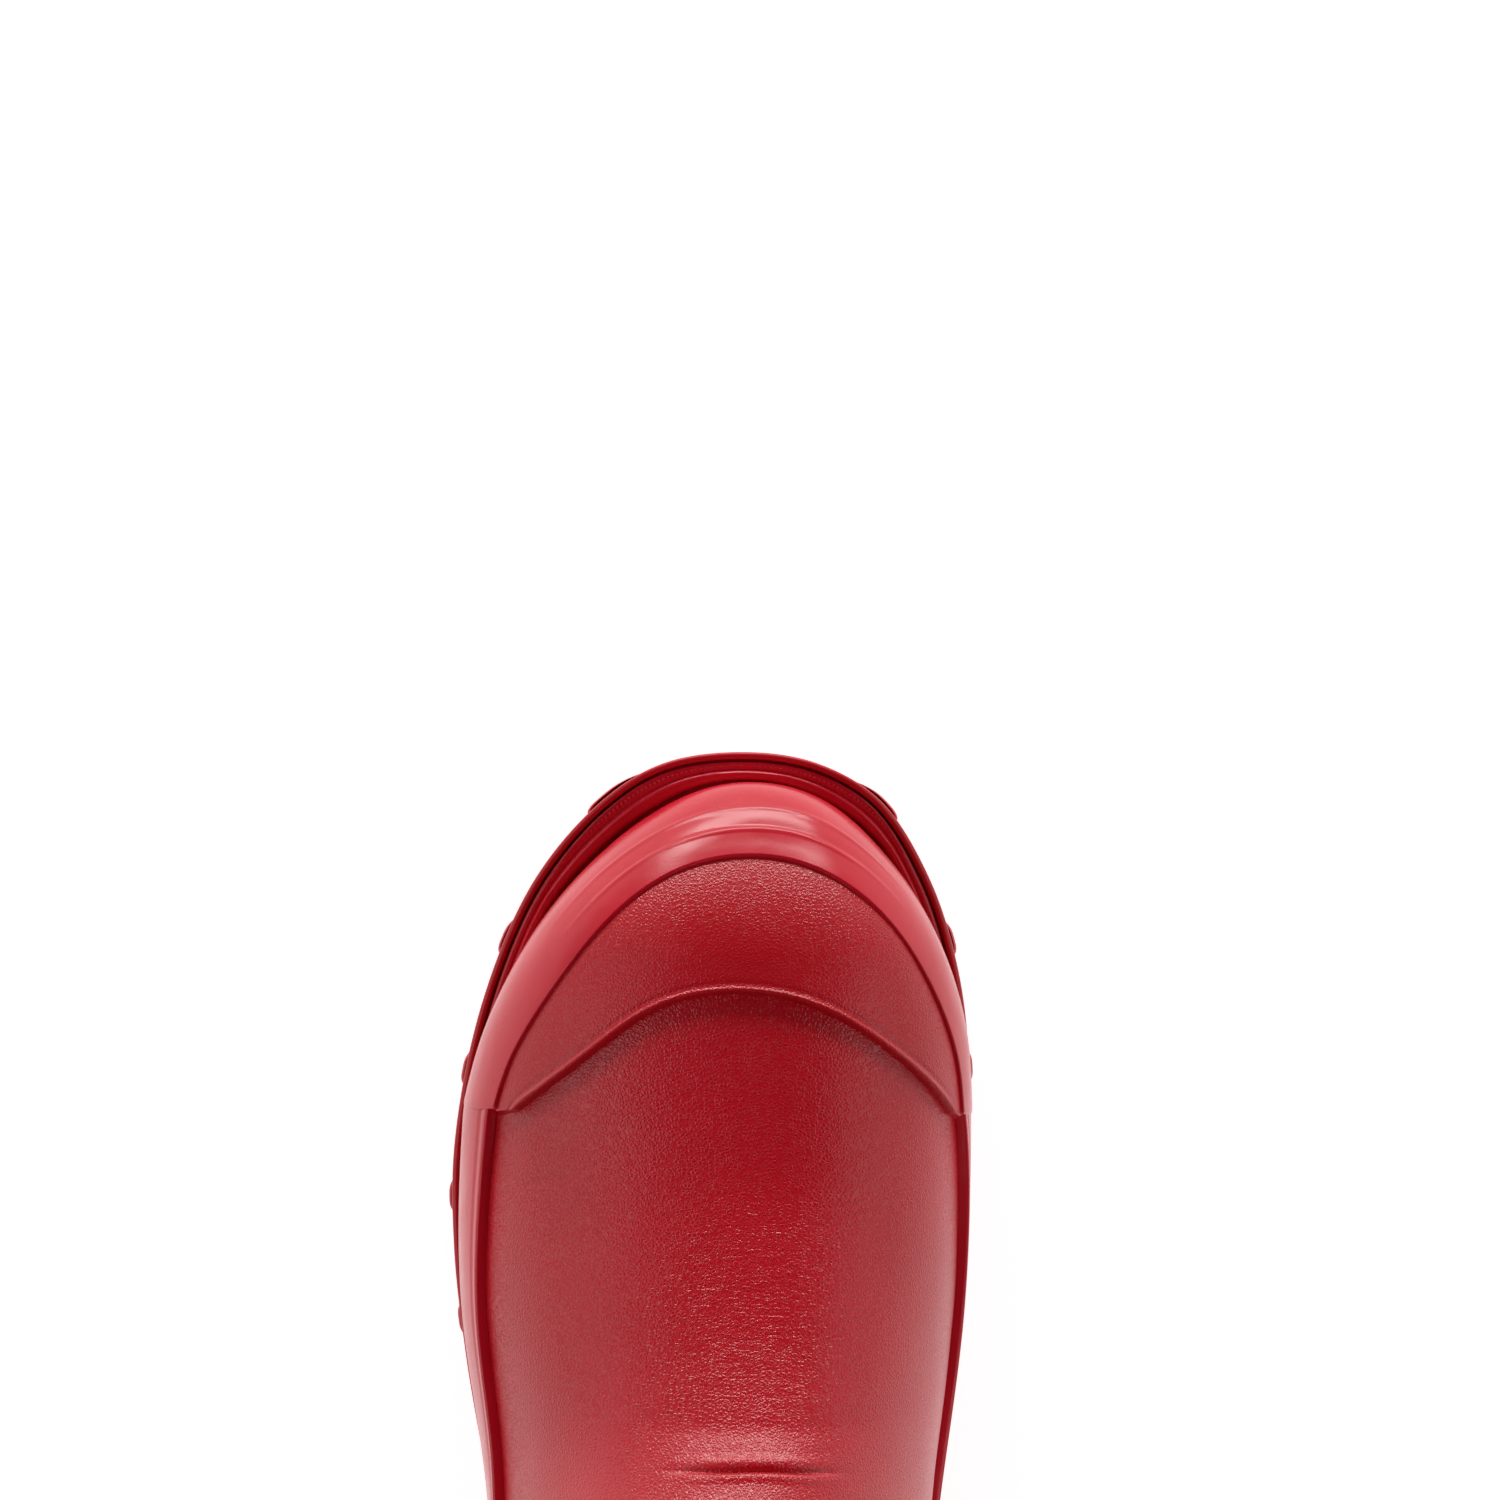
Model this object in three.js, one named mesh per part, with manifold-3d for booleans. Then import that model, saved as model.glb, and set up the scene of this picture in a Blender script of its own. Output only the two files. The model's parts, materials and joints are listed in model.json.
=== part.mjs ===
// Rubber rain boot for the left foot, short wellington height.
//
// Frame: +Z up, the toe points to -Y, the outer (lateral) side of the foot is +X. The origin is the middle
// of the footprint on the ground. Lengths are in millimetres. Distances along the boot are written from the
// toe tip of the sole, and `along` turns them into Y.
//
// How it is put together, from the ground up: a lugged outsole, a welt strip on its edge, a filler and a
// steel shank inside the lasting margin, an insole board, and then the wall of the boot: a rubber vamp and
// leg outside, stiffeners at toe and heel, and a textile lining inside. Overlays of rubber are vulcanised on
// top: toe cap, toe rand, side foxing, heel patch, kick spur, back stay and top band. The footbed lies loose
// inside, and a webbing loop at the back of the top line pulls the boot on.

import * as THREE from "three";
import { mergeVertices } from "three/addons/utils/BufferGeometryUtils.js";
import Module from "manifold-3d";

const wasm = await Module();
wasm.setup();

// ---------------------------------------------------------------- driving dimensions

const soleLength = 286;
const soleWidth = 106.6; // across the ball of the foot
const legHeight = 300; // top edge of the rubber leg above the ground
const legTopDepth = 128; // front to back at the top line
const legTopWidth = 106;
const topInset = 3; // back of the top line, in from the sole's heel end
const ankleSeam = 5.5; // station where the leg laps the vamp

const rubber = 2.2; // wall of vamp and leg
const liningCloth = 1.3;
const stiffener = 0.7; // toe puff and heel counter, between rubber and lining
const patch = 1.2; // toe cap, heel patch, back stay
const randThickness = 1.9; // toe rand and side foxing
const clearance = 0.3; // between pieces that lie on each other

const boardThickness = 2;
const footbedThickness = 5;
const coverThickness = 1;
const shankSize = { length: 105, width: 13, thickness: 1.5 };

const heelLength = 81;
const toeSpring = 8; // how far the sole's toe is off the ground
const archRise = 4.5;
const lugDepth = 5;
const lugWidth = 7;
const lugPitch = 13;
const sideLug = { reach: 0.9, height: 4 }; // every other lug stands out from the sole's side and climbs it
const lip = { width: 1.6, height: 1.5 }; // rim of the outsole that the welt lies inside
const weltWidth = 3.4;
const bead = { width: 1.8, height: 0.9 }; // raised along the inner edge of the welt

const foxingTop = 21; // upper edge of the side foxing above the floor line, at the heel
const topBand = { height: 22.5, thickness: 1.8 };
const backStay = { width: 24, bottom: 67.5 }; // height of its lower edge above the floor line
const spur = { bottom: 12, top: 18.5, width: 40, reach: 6.5 };
const webbing = 1.6;
const loop = { width: 20, rise: 34, reach: 10 };
const anchor = { width: 27, height: 26, cutCorner: 4, below: 3 };

// The outlines below are drawn at this size, and graded to the sizes above: the foot by its length and
// width, the leg by its height and its top line.
const drawn = { length: 286, width: 106.6, ankle: 138, height: 300 };
const drawnTop = { front: 155, back: 283, half: 53 };

// ---------------------------------------------------------------- small helpers

const along = (fromToe) => fromToe - soleLength / 2;
const mix = (a, b, t) => a + (b - a) * t;
const clamp = (x, lo, hi) => Math.min(hi, Math.max(lo, x));
const smooth = (t) => clamp(t, 0, 1) ** 2 * (3 - 2 * clamp(t, 0, 1));
const range = (n) => Array.from({ length: n }, (_, i) => i);

const lengthwise = (d) => (d * soleLength) / drawn.length;
const sideways = (d) => (d * soleWidth) / drawn.width;
// How far a height lies up the leg: 0 up to the ankle and 1 at the top line.
const upLeg = (z) => clamp((z - drawn.ankle) / (drawn.height - drawn.ankle), 0, 1);
const upwards = (z) => z + upLeg(z) * (legHeight - drawn.height);
const topBack = soleLength - topInset;
const topFront = topBack - legTopDepth;
const frontChange = topFront - lengthwise(drawnTop.front);
const backChange = topBack - lengthwise(drawnTop.back);
const frontPoint = ([y, z]) => [lengthwise(y) + upLeg(z) * frontChange, upwards(z)];
const backPoint = ([y, z]) => [lengthwise(y) + upLeg(z) * backChange, upwards(z)];
const sidePoint = (x, z) => {
  const change = legTopWidth / 2 - sideways(drawnTop.half);
  return sideways(x) + Math.sign(x) * upLeg(z) * change;
};

// Natural cubic spline through (x, y) pairs; straight on beyond its ends.
function spline(points) {
  const n = points.length;
  const x = points.map((p) => p[0]);
  const y = points.map((p) => p[1]);
  const bend = new Array(n).fill(0); // second derivatives
  const carry = new Array(n).fill(0);
  for (let i = 1; i < n - 1; i++) {
    const share = (x[i] - x[i - 1]) / (x[i + 1] - x[i - 1]);
    const p = share * bend[i - 1] + 2;
    const jump = (y[i + 1] - y[i]) / (x[i + 1] - x[i]) - (y[i] - y[i - 1]) / (x[i] - x[i - 1]);
    bend[i] = (share - 1) / p;
    carry[i] = ((6 * jump) / (x[i + 1] - x[i - 1]) - share * carry[i - 1]) / p;
  }
  bend[n - 1] = 0;
  for (let i = n - 2; i >= 0; i--) bend[i] = bend[i] * bend[i + 1] + carry[i];
  return (at) => {
    let i = 1;
    while (i < n - 1 && at > x[i]) i++;
    const h = x[i] - x[i - 1];
    const a = (x[i] - at) / h;
    const b = 1 - a;
    if (a > 1 || b > 1) {
      const end = b > 1 ? n - 1 : 0;
      const inner = b > 1 ? n - 2 : 1;
      const slope = (y[end] - y[inner]) / (x[end] - x[inner]) + ((x[end] - x[inner]) * bend[inner]) / 6;
      return y[end] + slope * (at - x[end]);
    }
    return a * y[i - 1] + b * y[i] + (((a ** 3 - a) * bend[i - 1] + (b ** 3 - b) * bend[i]) * h * h) / 6;
  };
}

// ---------------------------------------------------------------- the shape of the upper

// Underside of the upper against the distance from the toe tip: toe spring, ball, arch and heel seat.
const floorLine = spline([
  [8, 22],
  [30, 17.2],
  [55, 14.2],
  [85, 13],
  [115, 13.7],
  [148, 17],
  [185, 22.5],
  [222, 26],
  [286, 26.5],
].map(([y, z]) => [lengthwise(y), z]));
const floorZ = (y) => floorLine(y + soleLength / 2);

// Stations from toe to top line. Each is one slice of the upper. `front` is its point on the line that runs
// over the toe, the vamp and the shin, and `back` its point on the line under the sole and up the heel, both
// [from the toe tip, height]. In the foot the back point lies under the floor line, which cuts the slice off
// flat. `ridge` is how far sideways the front point lies. `out` and `in` are where the slice is widest on the
// lateral and the medial side, and `outAt` and `inAt` how far up the slice that is. `over` and `under` are
// its roundness above and below there: 2 is an ellipse, more is boxier.
const heads = ["front", "back", "ridge", "out", "in", "outAt", "inAt", "over", "under"];
const stations = [
  [[8.3, 51], [8.3, 8], -6.4, 46.6, -48.6, 0.55, 0.55, 2.2, 2.6],
  [[30, 57.5], [30, 4], -8.5, 46.6, -49.2, 0.5, 0.52, 2.2, 2.6],
  [[55, 64], [55, 2], -11, 47.4, -50.4, 0.42, 0.48, 2.15, 2.6],
  [[85, 71.5], [85, 0], -12.5, 49.4, -50.6, 0.36, 0.45, 2.1, 2.6],
  [[115, 83], [117, 0], -12, 48.8, -49, 0.31, 0.39, 2.05, 2.6],
  [[133, 93.5], [153, 4], -10.5, 44.2, -45.4, 0.3, 0.43, 2, 2.4],
  [[146, 105], [196, 8], -8.5, 41.5, -42.4, 0.38, 0.46, 2, 2],
  [[155, 118], [241, 6], -6.5, 40, -40.2, 0.46, 0.48, 2, 1.7],
  [[160.5, 132.5], [272, 14], -5, 40.8, -40.8, 0.5, 0.5, 2, 1.7],
  [[163, 149], [280, 46], -4, 42, -42, 0.5, 0.5, 2, 1.85],
  [[163.5, 168], [277, 90], -3, 43, -42.8, 0.5, 0.5, 2, 2],
  [[162.5, 192], [272.5, 138], -2, 44.4, -44, 0.5, 0.5, 2, 2],
  [[160.5, 224], [273.5, 192], -1, 47, -46.4, 0.5, 0.5, 2, 2],
  [[157.5, 262], [278.5, 252], 0, 50.2, -49.8, 0.5, 0.5, 2, 2],
  [[155, 300], [283, 300], 0, 53, -53, 0.5, 0.5, 2, 2],
].map(([front, back, ridge, out, inner, ...rest]) => {
  const height = (front[1] + back[1]) / 2;
  const across = [sideways(ridge), sidePoint(out, height), sidePoint(inner, height)];
  const row = [frontPoint(front), backPoint(back), ...across, ...rest];
  return Object.fromEntries(heads.map((head, i) => [head, row[i]]));
});
const topStation = stations.length - 1;

const column = (pick) => spline(stations.map((s, i) => [i, pick(s)]));
const lines = {
  frontY: column((s) => s.front[0]),
  frontZ: column((s) => s.front[1]),
  backY: column((s) => s.back[0]),
  backZ: column((s) => s.back[1]),
};
for (const head of heads.slice(2)) lines[head] = column((s) => s[head]);

// The toe closes like an egg: each direction shrinks to the tip over its own length, with its own roundness.
const toeTip = { x: stations[0].ridge, y: stations[0].front[0], z: 34 };
const toeClosing = { out: [66, 1.7], in: [60, 2], up: [34, 2], down: [13, 2] };
function closing(y, [length, full]) {
  const t = clamp((y - toeTip.y) / lengthwise(length), 0, 1);
  const round = mix(2, full, smooth(t / 0.05)); // the very tip is always an ellipse
  return (1 - (1 - t) ** round) ** (1 / round);
}

// Point of the rubber's outer face at station u and turn v: v is 0 on the lateral side, 0.25 on the front
// line, 0.5 on the medial side and 0.75 on the back line.
function skinPoint(u, v) {
  const turn = (v - Math.floor(v)) * 4;
  const quarter = Math.floor(turn) % 4;
  const angle = ((turn - Math.floor(turn)) * Math.PI) / 2;
  const side = quarter === 0 || quarter === 3 ? "out" : "in";
  const upper = quarter < 2;
  const rise = quarter === 0 || quarter === 2 ? angle : Math.PI / 2 - angle;
  const round = lines[upper ? "over" : "under"](u);
  const across = Math.cos(rise) ** (2 / round);
  const up = Math.sin(rise) ** (2 / round);

  const y = lines.frontY(u);
  const widestX = mix(toeTip.x, lines[side](u), closing(y, toeClosing[side]));
  const widestAt = lines[side + "At"](u);
  const frontZ = mix(toeTip.z, lines.frontZ(u), closing(y, toeClosing.up));
  const backZ = mix(toeTip.z, lines.backZ(u), closing(y, toeClosing.down));
  const share = upper ? mix(widestAt, 1, up) : widestAt * (1 - up);
  const ridge = lines.ridge(u);
  const middle = upper ? ridge : mix(ridge, (lines.out(u) + lines.in(u)) / 2, smooth(up));
  const fromToe = mix(lines.backY(u), y, share);
  return new THREE.Vector3(mix(middle, widestX, across), along(fromToe), mix(backZ, frontZ, share));
}

// The same point moved out from the rubber's outer face.
function offsetPoint(u, v, out) {
  const step = 1e-3;
  const pole = u < 2 * step;
  const du = skinPoint(u + step, v).sub(skinPoint(pole ? u : u - step, v));
  const dv = skinPoint(u, v + step).sub(skinPoint(u, v - step));
  const normal = pole ? new THREE.Vector3(0, -1, 0) : du.cross(dv).normalize();
  return skinPoint(u, v).addScaledVector(normal, out);
}

// Turn at which a slice meets its floor on one side, or the back line where it stays above it.
function cornerTurn(u, out, lift, widest) {
  const above = (v) => {
    const p = offsetPoint(u, v, out);
    return p.z - floorZ(p.y) - lift;
  };
  let [high, low] = [widest, 0.75];
  if (above(low) >= 0) return low;
  for (let i = 0; i < 24; i++) {
    const middle = (high + low) / 2;
    if (above(middle) > 0) high = middle;
    else low = middle;
  }
  return high;
}

// One slice as a ring of points, `out` from the rubber and kept `lift` above the floor line, with a corner
// where wall and floor meet.
const wallTurns = 33;
const floorTurns = 3;
const turns = wallTurns + floorTurns;
function ring(u, out = 0, lift = 0) {
  const lateral = cornerTurn(u, out, lift, 1);
  const medial = cornerTurn(u, out, lift, 0.5);
  const vs = [
    ...range(wallTurns).map((j) => mix(lateral - 1, medial, j / wallTurns)),
    ...range(floorTurns).map((j) => mix(medial, lateral, j / floorTurns)),
  ];
  return vs.map((v) => {
    const p = offsetPoint(u, v, out);
    p.z = Math.max(p.z, floorZ(p.y) + lift);
    return p;
  });
}

// ---------------------------------------------------------------- solids from grids of points

// Closed mesh between two grids of points, outer[i][j] and inner[i][j]. `around` joins the last column to
// the first, and `loop` the last row to the first. Rows or columns that shrink to a point are allowed.
function sheet(outer, inner, { around = false, loop = false } = {}) {
  const corners = [];
  const quad = (a, b, c, d) => {
    const shorter = a.distanceTo(c) <= b.distanceTo(d);
    corners.push(...(shorter ? [a, b, c, a, c, d] : [b, c, d, b, d, a]));
  };
  const rows = outer.length;
  const columns = outer[0].length;
  for (let i = 0; i < rows - (loop ? 0 : 1); i++) {
    for (let j = 0; j < columns - (around ? 0 : 1); j++) {
      const k = (i + 1) % rows;
      const l = (j + 1) % columns;
      quad(outer[i][j], outer[i][l], outer[k][l], outer[k][j]);
      quad(inner[i][j], inner[k][j], inner[k][l], inner[i][l]);
    }
  }
  const seam = (pick, count, flip, closed) => {
    for (let i = 0; i < count - (closed ? 0 : 1); i++) {
      const [a, b] = [pick(i), pick((i + 1) % count)];
      flip ? quad(a[0], b[0], b[1], a[1]) : quad(a[0], a[1], b[1], b[0]);
    }
  };
  if (!loop) {
    seam((j) => [outer[0][j], inner[0][j]], columns, false, around);
    seam((j) => [outer[rows - 1][j], inner[rows - 1][j]], columns, true, around);
  }
  if (!around) {
    seam((i) => [outer[i][0], inner[i][0]], rows, true, loop);
    seam((i) => [outer[i][columns - 1], inner[i][columns - 1]], rows, false, loop);
  }
  return closedGeometry(corners);
}

// Triangles as a geometry with shared vertices, without those that have shrunk to a line.
function closedGeometry(corners) {
  const soup = new THREE.BufferGeometry();
  soup.setAttribute("position", new THREE.Float32BufferAttribute(corners.flatMap((p) => [p.x, p.y, p.z]), 3));
  const merged = mergeVertices(soup, 1e-3);
  const index = [];
  for (let i = 0; i < merged.index.count; i += 3) {
    const [a, b, c] = [0, 1, 2].map((k) => merged.index.getX(i + k));
    if (a !== b && b !== c && c !== a) index.push(a, b, c);
  }
  merged.setIndex(index);
  return facingOut(merged);
}

// The geometry with its faces turned out, whichever way round its grids ran.
function facingOut(geometry) {
  const p = geometry.getAttribute("position");
  const index = geometry.index;
  const [a, b, c] = [new THREE.Vector3(), new THREE.Vector3(), new THREE.Vector3()];
  let volume = 0;
  for (let i = 0; i < index.count; i += 3) {
    a.fromBufferAttribute(p, index.getX(i));
    b.fromBufferAttribute(p, index.getX(i + 1));
    c.fromBufferAttribute(p, index.getX(i + 2));
    volume += a.dot(b.cross(c));
  }
  if (volume < 0) {
    for (let i = 0; i < index.count; i += 3) {
      const first = index.getX(i);
      index.setX(i, index.getX(i + 1));
      index.setX(i + 1, first);
    }
  }
  return geometry;
}

function toManifold(geometry) {
  const g = geometry.clone();
  g.deleteAttribute("normal");
  g.deleteAttribute("uv");
  const merged = mergeVertices(g, 1e-4);
  const mesh = new wasm.Mesh({
    numProp: 3,
    vertProperties: merged.getAttribute("position").array,
    triVerts: new Uint32Array(merged.index.array),
  });
  return new wasm.Manifold(mesh);
}

function fromManifold(solid) {
  const mesh = solid.getMesh();
  const geometry = new THREE.BufferGeometry();
  geometry.setAttribute("position", new THREE.BufferAttribute(mesh.vertProperties, 3));
  geometry.setIndex(new THREE.BufferAttribute(mesh.triVerts, 1));
  return geometry;
}

// ---------------------------------------------------------------- laying pieces on the upper

// Slices from one station to another, closest together where the shape turns fastest: at toe and heel.
function slices(from, to, spread = 1) {
  const toeEnd = 1.15;
  const run = (start, end, step) => {
    const count = Math.ceil((end - start) / (step * spread));
    return range(count).map((i) => mix(start, end, i / count));
  };
  const toe = run(0, 1, 1 / 8).map((t) => toeEnd * (1 - Math.cos((t * Math.PI) / 2)));
  const all = [...toe, ...run(toeEnd, 7, 0.45), ...run(7, 9.6, 0.22), ...run(9.6, topStation, 0.65)];
  const near = 0.06 * spread;
  return [from, ...all.filter((u) => u > from + near && u < to - near), to];
}

// The upper's face as a mesh that rays can be aimed at, `out` from the rubber, in small pieces so that each
// ray only meets a few of them.
const skins = new Map();
const skinTurns = 96;
const tile = 8;
function skinMesh(out) {
  if (skins.has(out)) return skins.get(out);
  const us = slices(0, topStation, 0.3);
  const grid = us.map((u) => range(skinTurns).map((j) => offsetPoint(u, j / skinTurns, out)));
  const group = new THREE.Group();
  const material = new THREE.MeshBasicMaterial({ side: THREE.DoubleSide });
  for (let i = 0; i < us.length - 1; i += tile) {
    for (let j = 0; j < skinTurns; j += tile) {
      const corners = [];
      for (let k = i; k < Math.min(i + tile, us.length - 1); k++) {
        for (let m = j; m < j + tile; m++) {
          const n = (m + 1) % skinTurns;
          corners.push(grid[k][m], grid[k][n], grid[k + 1][n], grid[k][m], grid[k + 1][n], grid[k + 1][m]);
        }
      }
      group.add(new THREE.Mesh(new THREE.BufferGeometry().setFromPoints(corners), material));
    }
  }
  skins.set(out, group);
  return group;
}

const caster = new THREE.Raycaster();
// Where a ray from inside the boot towards a point meets the face `out` from the rubber.
function cast(from, to, out) {
  caster.set(from, to.clone().sub(from).normalize());
  const hits = caster.intersectObject(skinMesh(out), true);
  if (!hits.length) throw new Error(`no wall ${out} out, from ${from.toArray()} to ${to.toArray()}`);
  return hits[0].point;
}

// The way round the foot, seen from above. `p` runs from -1 to 1 round the toe, from the lateral to the
// medial side, 1 to 2 back along the medial side, 2 to 4 round the heel and 4 to 5 forward again.
const toeHub = new THREE.Vector2(-3, along(lengthwise(62)));
const heelHub = new THREE.Vector2(-0.5, along(lengthwise(240)));
function spine(p) {
  const at = ((((p + 1) % 6) + 6) % 6) - 1;
  const angle = (at * Math.PI) / 2;
  if (at <= 1) return { hub: toeHub, aim: new THREE.Vector2(-Math.sin(angle), -Math.cos(angle)) };
  if (at >= 2 && at <= 4) return { hub: heelHub, aim: new THREE.Vector2(Math.cos(angle), -Math.sin(angle)) };
  const medial = at < 2;
  const t = medial ? at - 1 : 5 - at;
  return { hub: toeHub.clone().lerp(heelHub, t), aim: new THREE.Vector2(medial ? -1 : 1, 0) };
}
// Place on the way round that lies `fromToe`, as drawn, back along one side.
function beside(fromToe, medial) {
  const t = (along(lengthwise(fromToe)) - toeHub.y) / (heelHub.y - toeHub.y);
  return medial ? 1 + t : 5 - t;
}

// Ray from inside the boot to its face at place p and height z above the floor line.
function sideRay(p, z) {
  const { hub, aim } = spine(p);
  const from = new THREE.Vector3(hub.x, hub.y, z + floorZ(hub.y));
  let to;
  for (let i = 0; i < 3; i++) {
    to = cast(from, new THREE.Vector3(from.x + aim.x, from.y + aim.y, from.z), 0);
    from.z = z + floorZ(to.y);
  }
  to.z = from.z;
  return { from, to };
}

// A piece that lies on the face between two distances out from it. Each column of the piece goes from one
// ray to another, and `rows` says in how many steps.
function overlay(columns, rows, innerOut, outerOut, closed = false) {
  const face = (out) =>
    columns.map(([start, end]) =>
      range(rows + 1).map((k) => {
        const t = k / rows;
        const from = start.from.clone().lerp(end.from, t);
        const to = start.to.clone().lerp(end.to, t);
        const aimed = cast(from, to, 0);
        return cast(from, aimed, typeof out === "function" ? out(t) : out);
      }),
    );
  return sheet(face(outerOut), face(innerOut), { loop: closed });
}

// ---------------------------------------------------------------- layers over the sole

// The sole's outline from above, [sideways, from the toe tip], from the toe tip round by the lateral side.
const outlinePoints = [
  [-6.4, 0],
  [10, 2.3],
  [22.6, 10],
  [36.6, 26.3],
  [47.3, 51],
  [53.2, 80],
  [53.4, 102],
  [50.8, 125],
  [46.4, 150],
  [41.5, 180],
  [39, 210],
  [37.5, 238],
  [31.5, 264],
  [18, 281],
  [0, 286],
  [-17, 281.5],
  [-29.5, 265],
  [-35.5, 240],
  [-37.5, 210],
  [-40.5, 180],
  [-45, 148],
  [-49.4, 117],
  [-52.6, 90],
  [-53.2, 67],
  [-51, 46],
  [-44.9, 26.3],
  [-34.6, 10],
  [-21.6, 2.3],
];
const outlineCurve = new THREE.CatmullRomCurve3(
  outlinePoints.map(([x, fromToe]) => new THREE.Vector3(sideways(x), along(lengthwise(fromToe)), 0)),
  true,
);
const outlineSteps = 64;
const outline = outlineCurve.getSpacedPoints(outlineSteps).slice(0, outlineSteps);

// The outline moved in by `inset`.
function insetOutline(inset) {
  return outline.map((p, i) => {
    const next = outline[(i + 1) % outlineSteps];
    const last = outline[(i + outlineSteps - 1) % outlineSteps];
    const d = next.clone().sub(last).normalize();
    return new THREE.Vector2(p.x - d.y * inset, p.y + d.x * inset);
  });
}

function prism(points, bottom, top) {
  const options = { depth: top - bottom, bevelEnabled: false };
  const geometry = new THREE.ExtrudeGeometry(new THREE.Shape(points), options);
  return toManifold(geometry.translate(0, 0, bottom));
}

// Slab between two height lines, wider than the boot.
function slab(bottomAt, topAt, count = 24) {
  const ys = range(count + 1).map((i) => along(mix(-8, soleLength + 8, i / count)));
  const face = (heightAt) => ys.map((y) => [-80, 80].map((x) => new THREE.Vector3(x, y, heightAt(y))));
  return toManifold(sheet(face(topAt), face(bottomAt)));
}
const floorSlab = (from, to) => slab((y) => floorZ(y) + from, (y) => floorZ(y) + to);

// Space inside the boot's wall, from `out` and above `lift`, up to the top line.
function inside(out, lift) {
  const grid = slices(0, topStation).map((u) => ring(u, out, lift));
  const corners = [];
  for (let i = 0; i < grid.length - 1; i++) {
    for (let j = 0; j < turns; j++) {
      const k = (j + 1) % turns;
      corners.push(grid[i][j], grid[i][k], grid[i + 1][k], grid[i][j], grid[i + 1][k], grid[i + 1][j]);
    }
  }
  const lid = grid[grid.length - 1];
  for (let j = 1; j < turns - 1; j++) corners.push(lid[0], lid[j], lid[j + 1]);
  return toManifold(closedGeometry(corners));
}

// ---------------------------------------------------------------- distances that follow from the sizes

const gap = clearance + 0.2; // between layers whose facets don't line up
const randGap = gap + 0.15;
const liningOut = -(rubber + stiffener + 2.8 * gap);
const stiffenerOut = liningOut + stiffener + gap; // the stiffeners lie close to the lining
const liningIn = liningOut - liningCloth;
const boardFloor = rubber + clearance;
const liningFloor = boardFloor + boardThickness + gap;
const bedFloor = liningFloor + liningCloth + clearance;
const bedTop = bedFloor + footbedThickness;
const boardInset = 1.2; // play between the insole board and the rubber round its edge
const bedInset = 2.6; // play between the footbed and the lining round its edge
const marginInset = 20; // from the sole's outline to the inner edge of the upper's turned-in margin
const weltInset = lip.width + clearance + 0.1; // from the sole's outline to the welt's outer edge
const weltInner = weltInset + weltWidth;
const weltTop = lip.height + bead.height;
const overlayFloor = weltTop + gap; // lower edge of rand and foxing above the floor line
const seamGap = 0.6; // along the face, between pieces that meet edge to edge

// ---------------------------------------------------------------- wall of the boot

function sleeve(from, to, outer, inner, spread = 1) {
  const us = slices(from, to, spread);
  const face = ([out, lift]) => us.map((u) => ring(u, out, lift));
  return sheet(face(outer), face(inner), { around: true });
}

const outerFace = [0, 0];
const innerFace = [-rubber, rubber];
const halfLap = 0.012; // stations, half the play where the leg meets the vamp

function vamp() {
  const whole = toManifold(sleeve(0, ankleSeam - halfLap, outerFace, innerFace));
  return fromManifold(whole.subtract(prism(insetOutline(marginInset), 0, 36)));
}

function leg() {
  const whole = toManifold(sleeve(ankleSeam + halfLap, topStation, outerFace, innerFace));
  return fromManifold(whole.subtract(prism(insetOutline(marginInset), 0, 36)));
}

function lining(from, to) {
  return sleeve(from, to, [liningOut, liningFloor], [liningIn, liningFloor + liningCloth], 1.3);
}

// ---------------------------------------------------------------- sole and inside

const springLength = lengthwise(70);
const groundLine = (y) => toeSpring * clamp(1 - (y + soleLength / 2) / springLength, 0, 1) ** 2;
const archStart = lengthwise(122);
const heelBreast = soleLength - heelLength;
// Underside of the sole's body between the lugs: the arch is raised between ball and heel.
function bodyLine(y) {
  const fromToe = y + soleLength / 2;
  const arch = smooth((fromToe - archStart) / 16) * (1 - smooth((fromToe - heelBreast + 10) / 6));
  return groundLine(y) + lugDepth + arch * archRise;
}

const lugSlant = 0.16; // radians
const firstLug = 7; // from the toe tip, and from the heel breast to its first one
const shortLugInset = 1.2;

// Bars across the sole from the middle to one side, as far as there is room for them.
function lugBars() {
  const row = (from, to) => range(Math.ceil((to - from) / lugPitch)).map((i) => from + i * lugPitch);
  const middle = lugWidth * 0.4;
  const reach = soleWidth * 0.66;
  const places = [...row(firstLug, archStart - 2), ...row(heelBreast + firstLug - 1, soleLength - 2)];
  return places.map((fromToe) => {
    const bar = new THREE.BoxGeometry(reach, lugWidth, 40).translate(middle + reach / 2, 0, 20);
    return { bar: bar.rotateZ(lugSlant), y: along(fromToe) - 2 };
  });
}

function outsole() {
  const body = prism(outline, -1, 60).intersect(slab(bodyLine, (y) => floorZ(y) - clearance));
  const lugs = [];
  lugBars().forEach(({ bar, y }, i) => {
    const tall = i % 2 === 0;
    for (const hand of [-1, 1]) {
      const placed = toManifold(facingOut(bar.clone().scale(hand, 1, 1).translate(-2, y, -1)));
      const edge = prism(insetOutline(tall ? -sideLug.reach : shortLugInset), -1, 40);
      const top = (at) => bodyLine(at) + (tall ? sideLug.height : 0.5);
      lugs.push(placed.intersect(edge).intersect(slab(groundLine, top)));
    }
  });
  const rim = prism(outline, 0, 60).subtract(prism(insetOutline(lip.width), -1, 61));
  const rimTop = rim.intersect(floorSlab(-1, lip.height));
  return fromManifold(lugs.reduce((whole, lug) => whole.add(lug), body.add(rimTop)));
}

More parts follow.
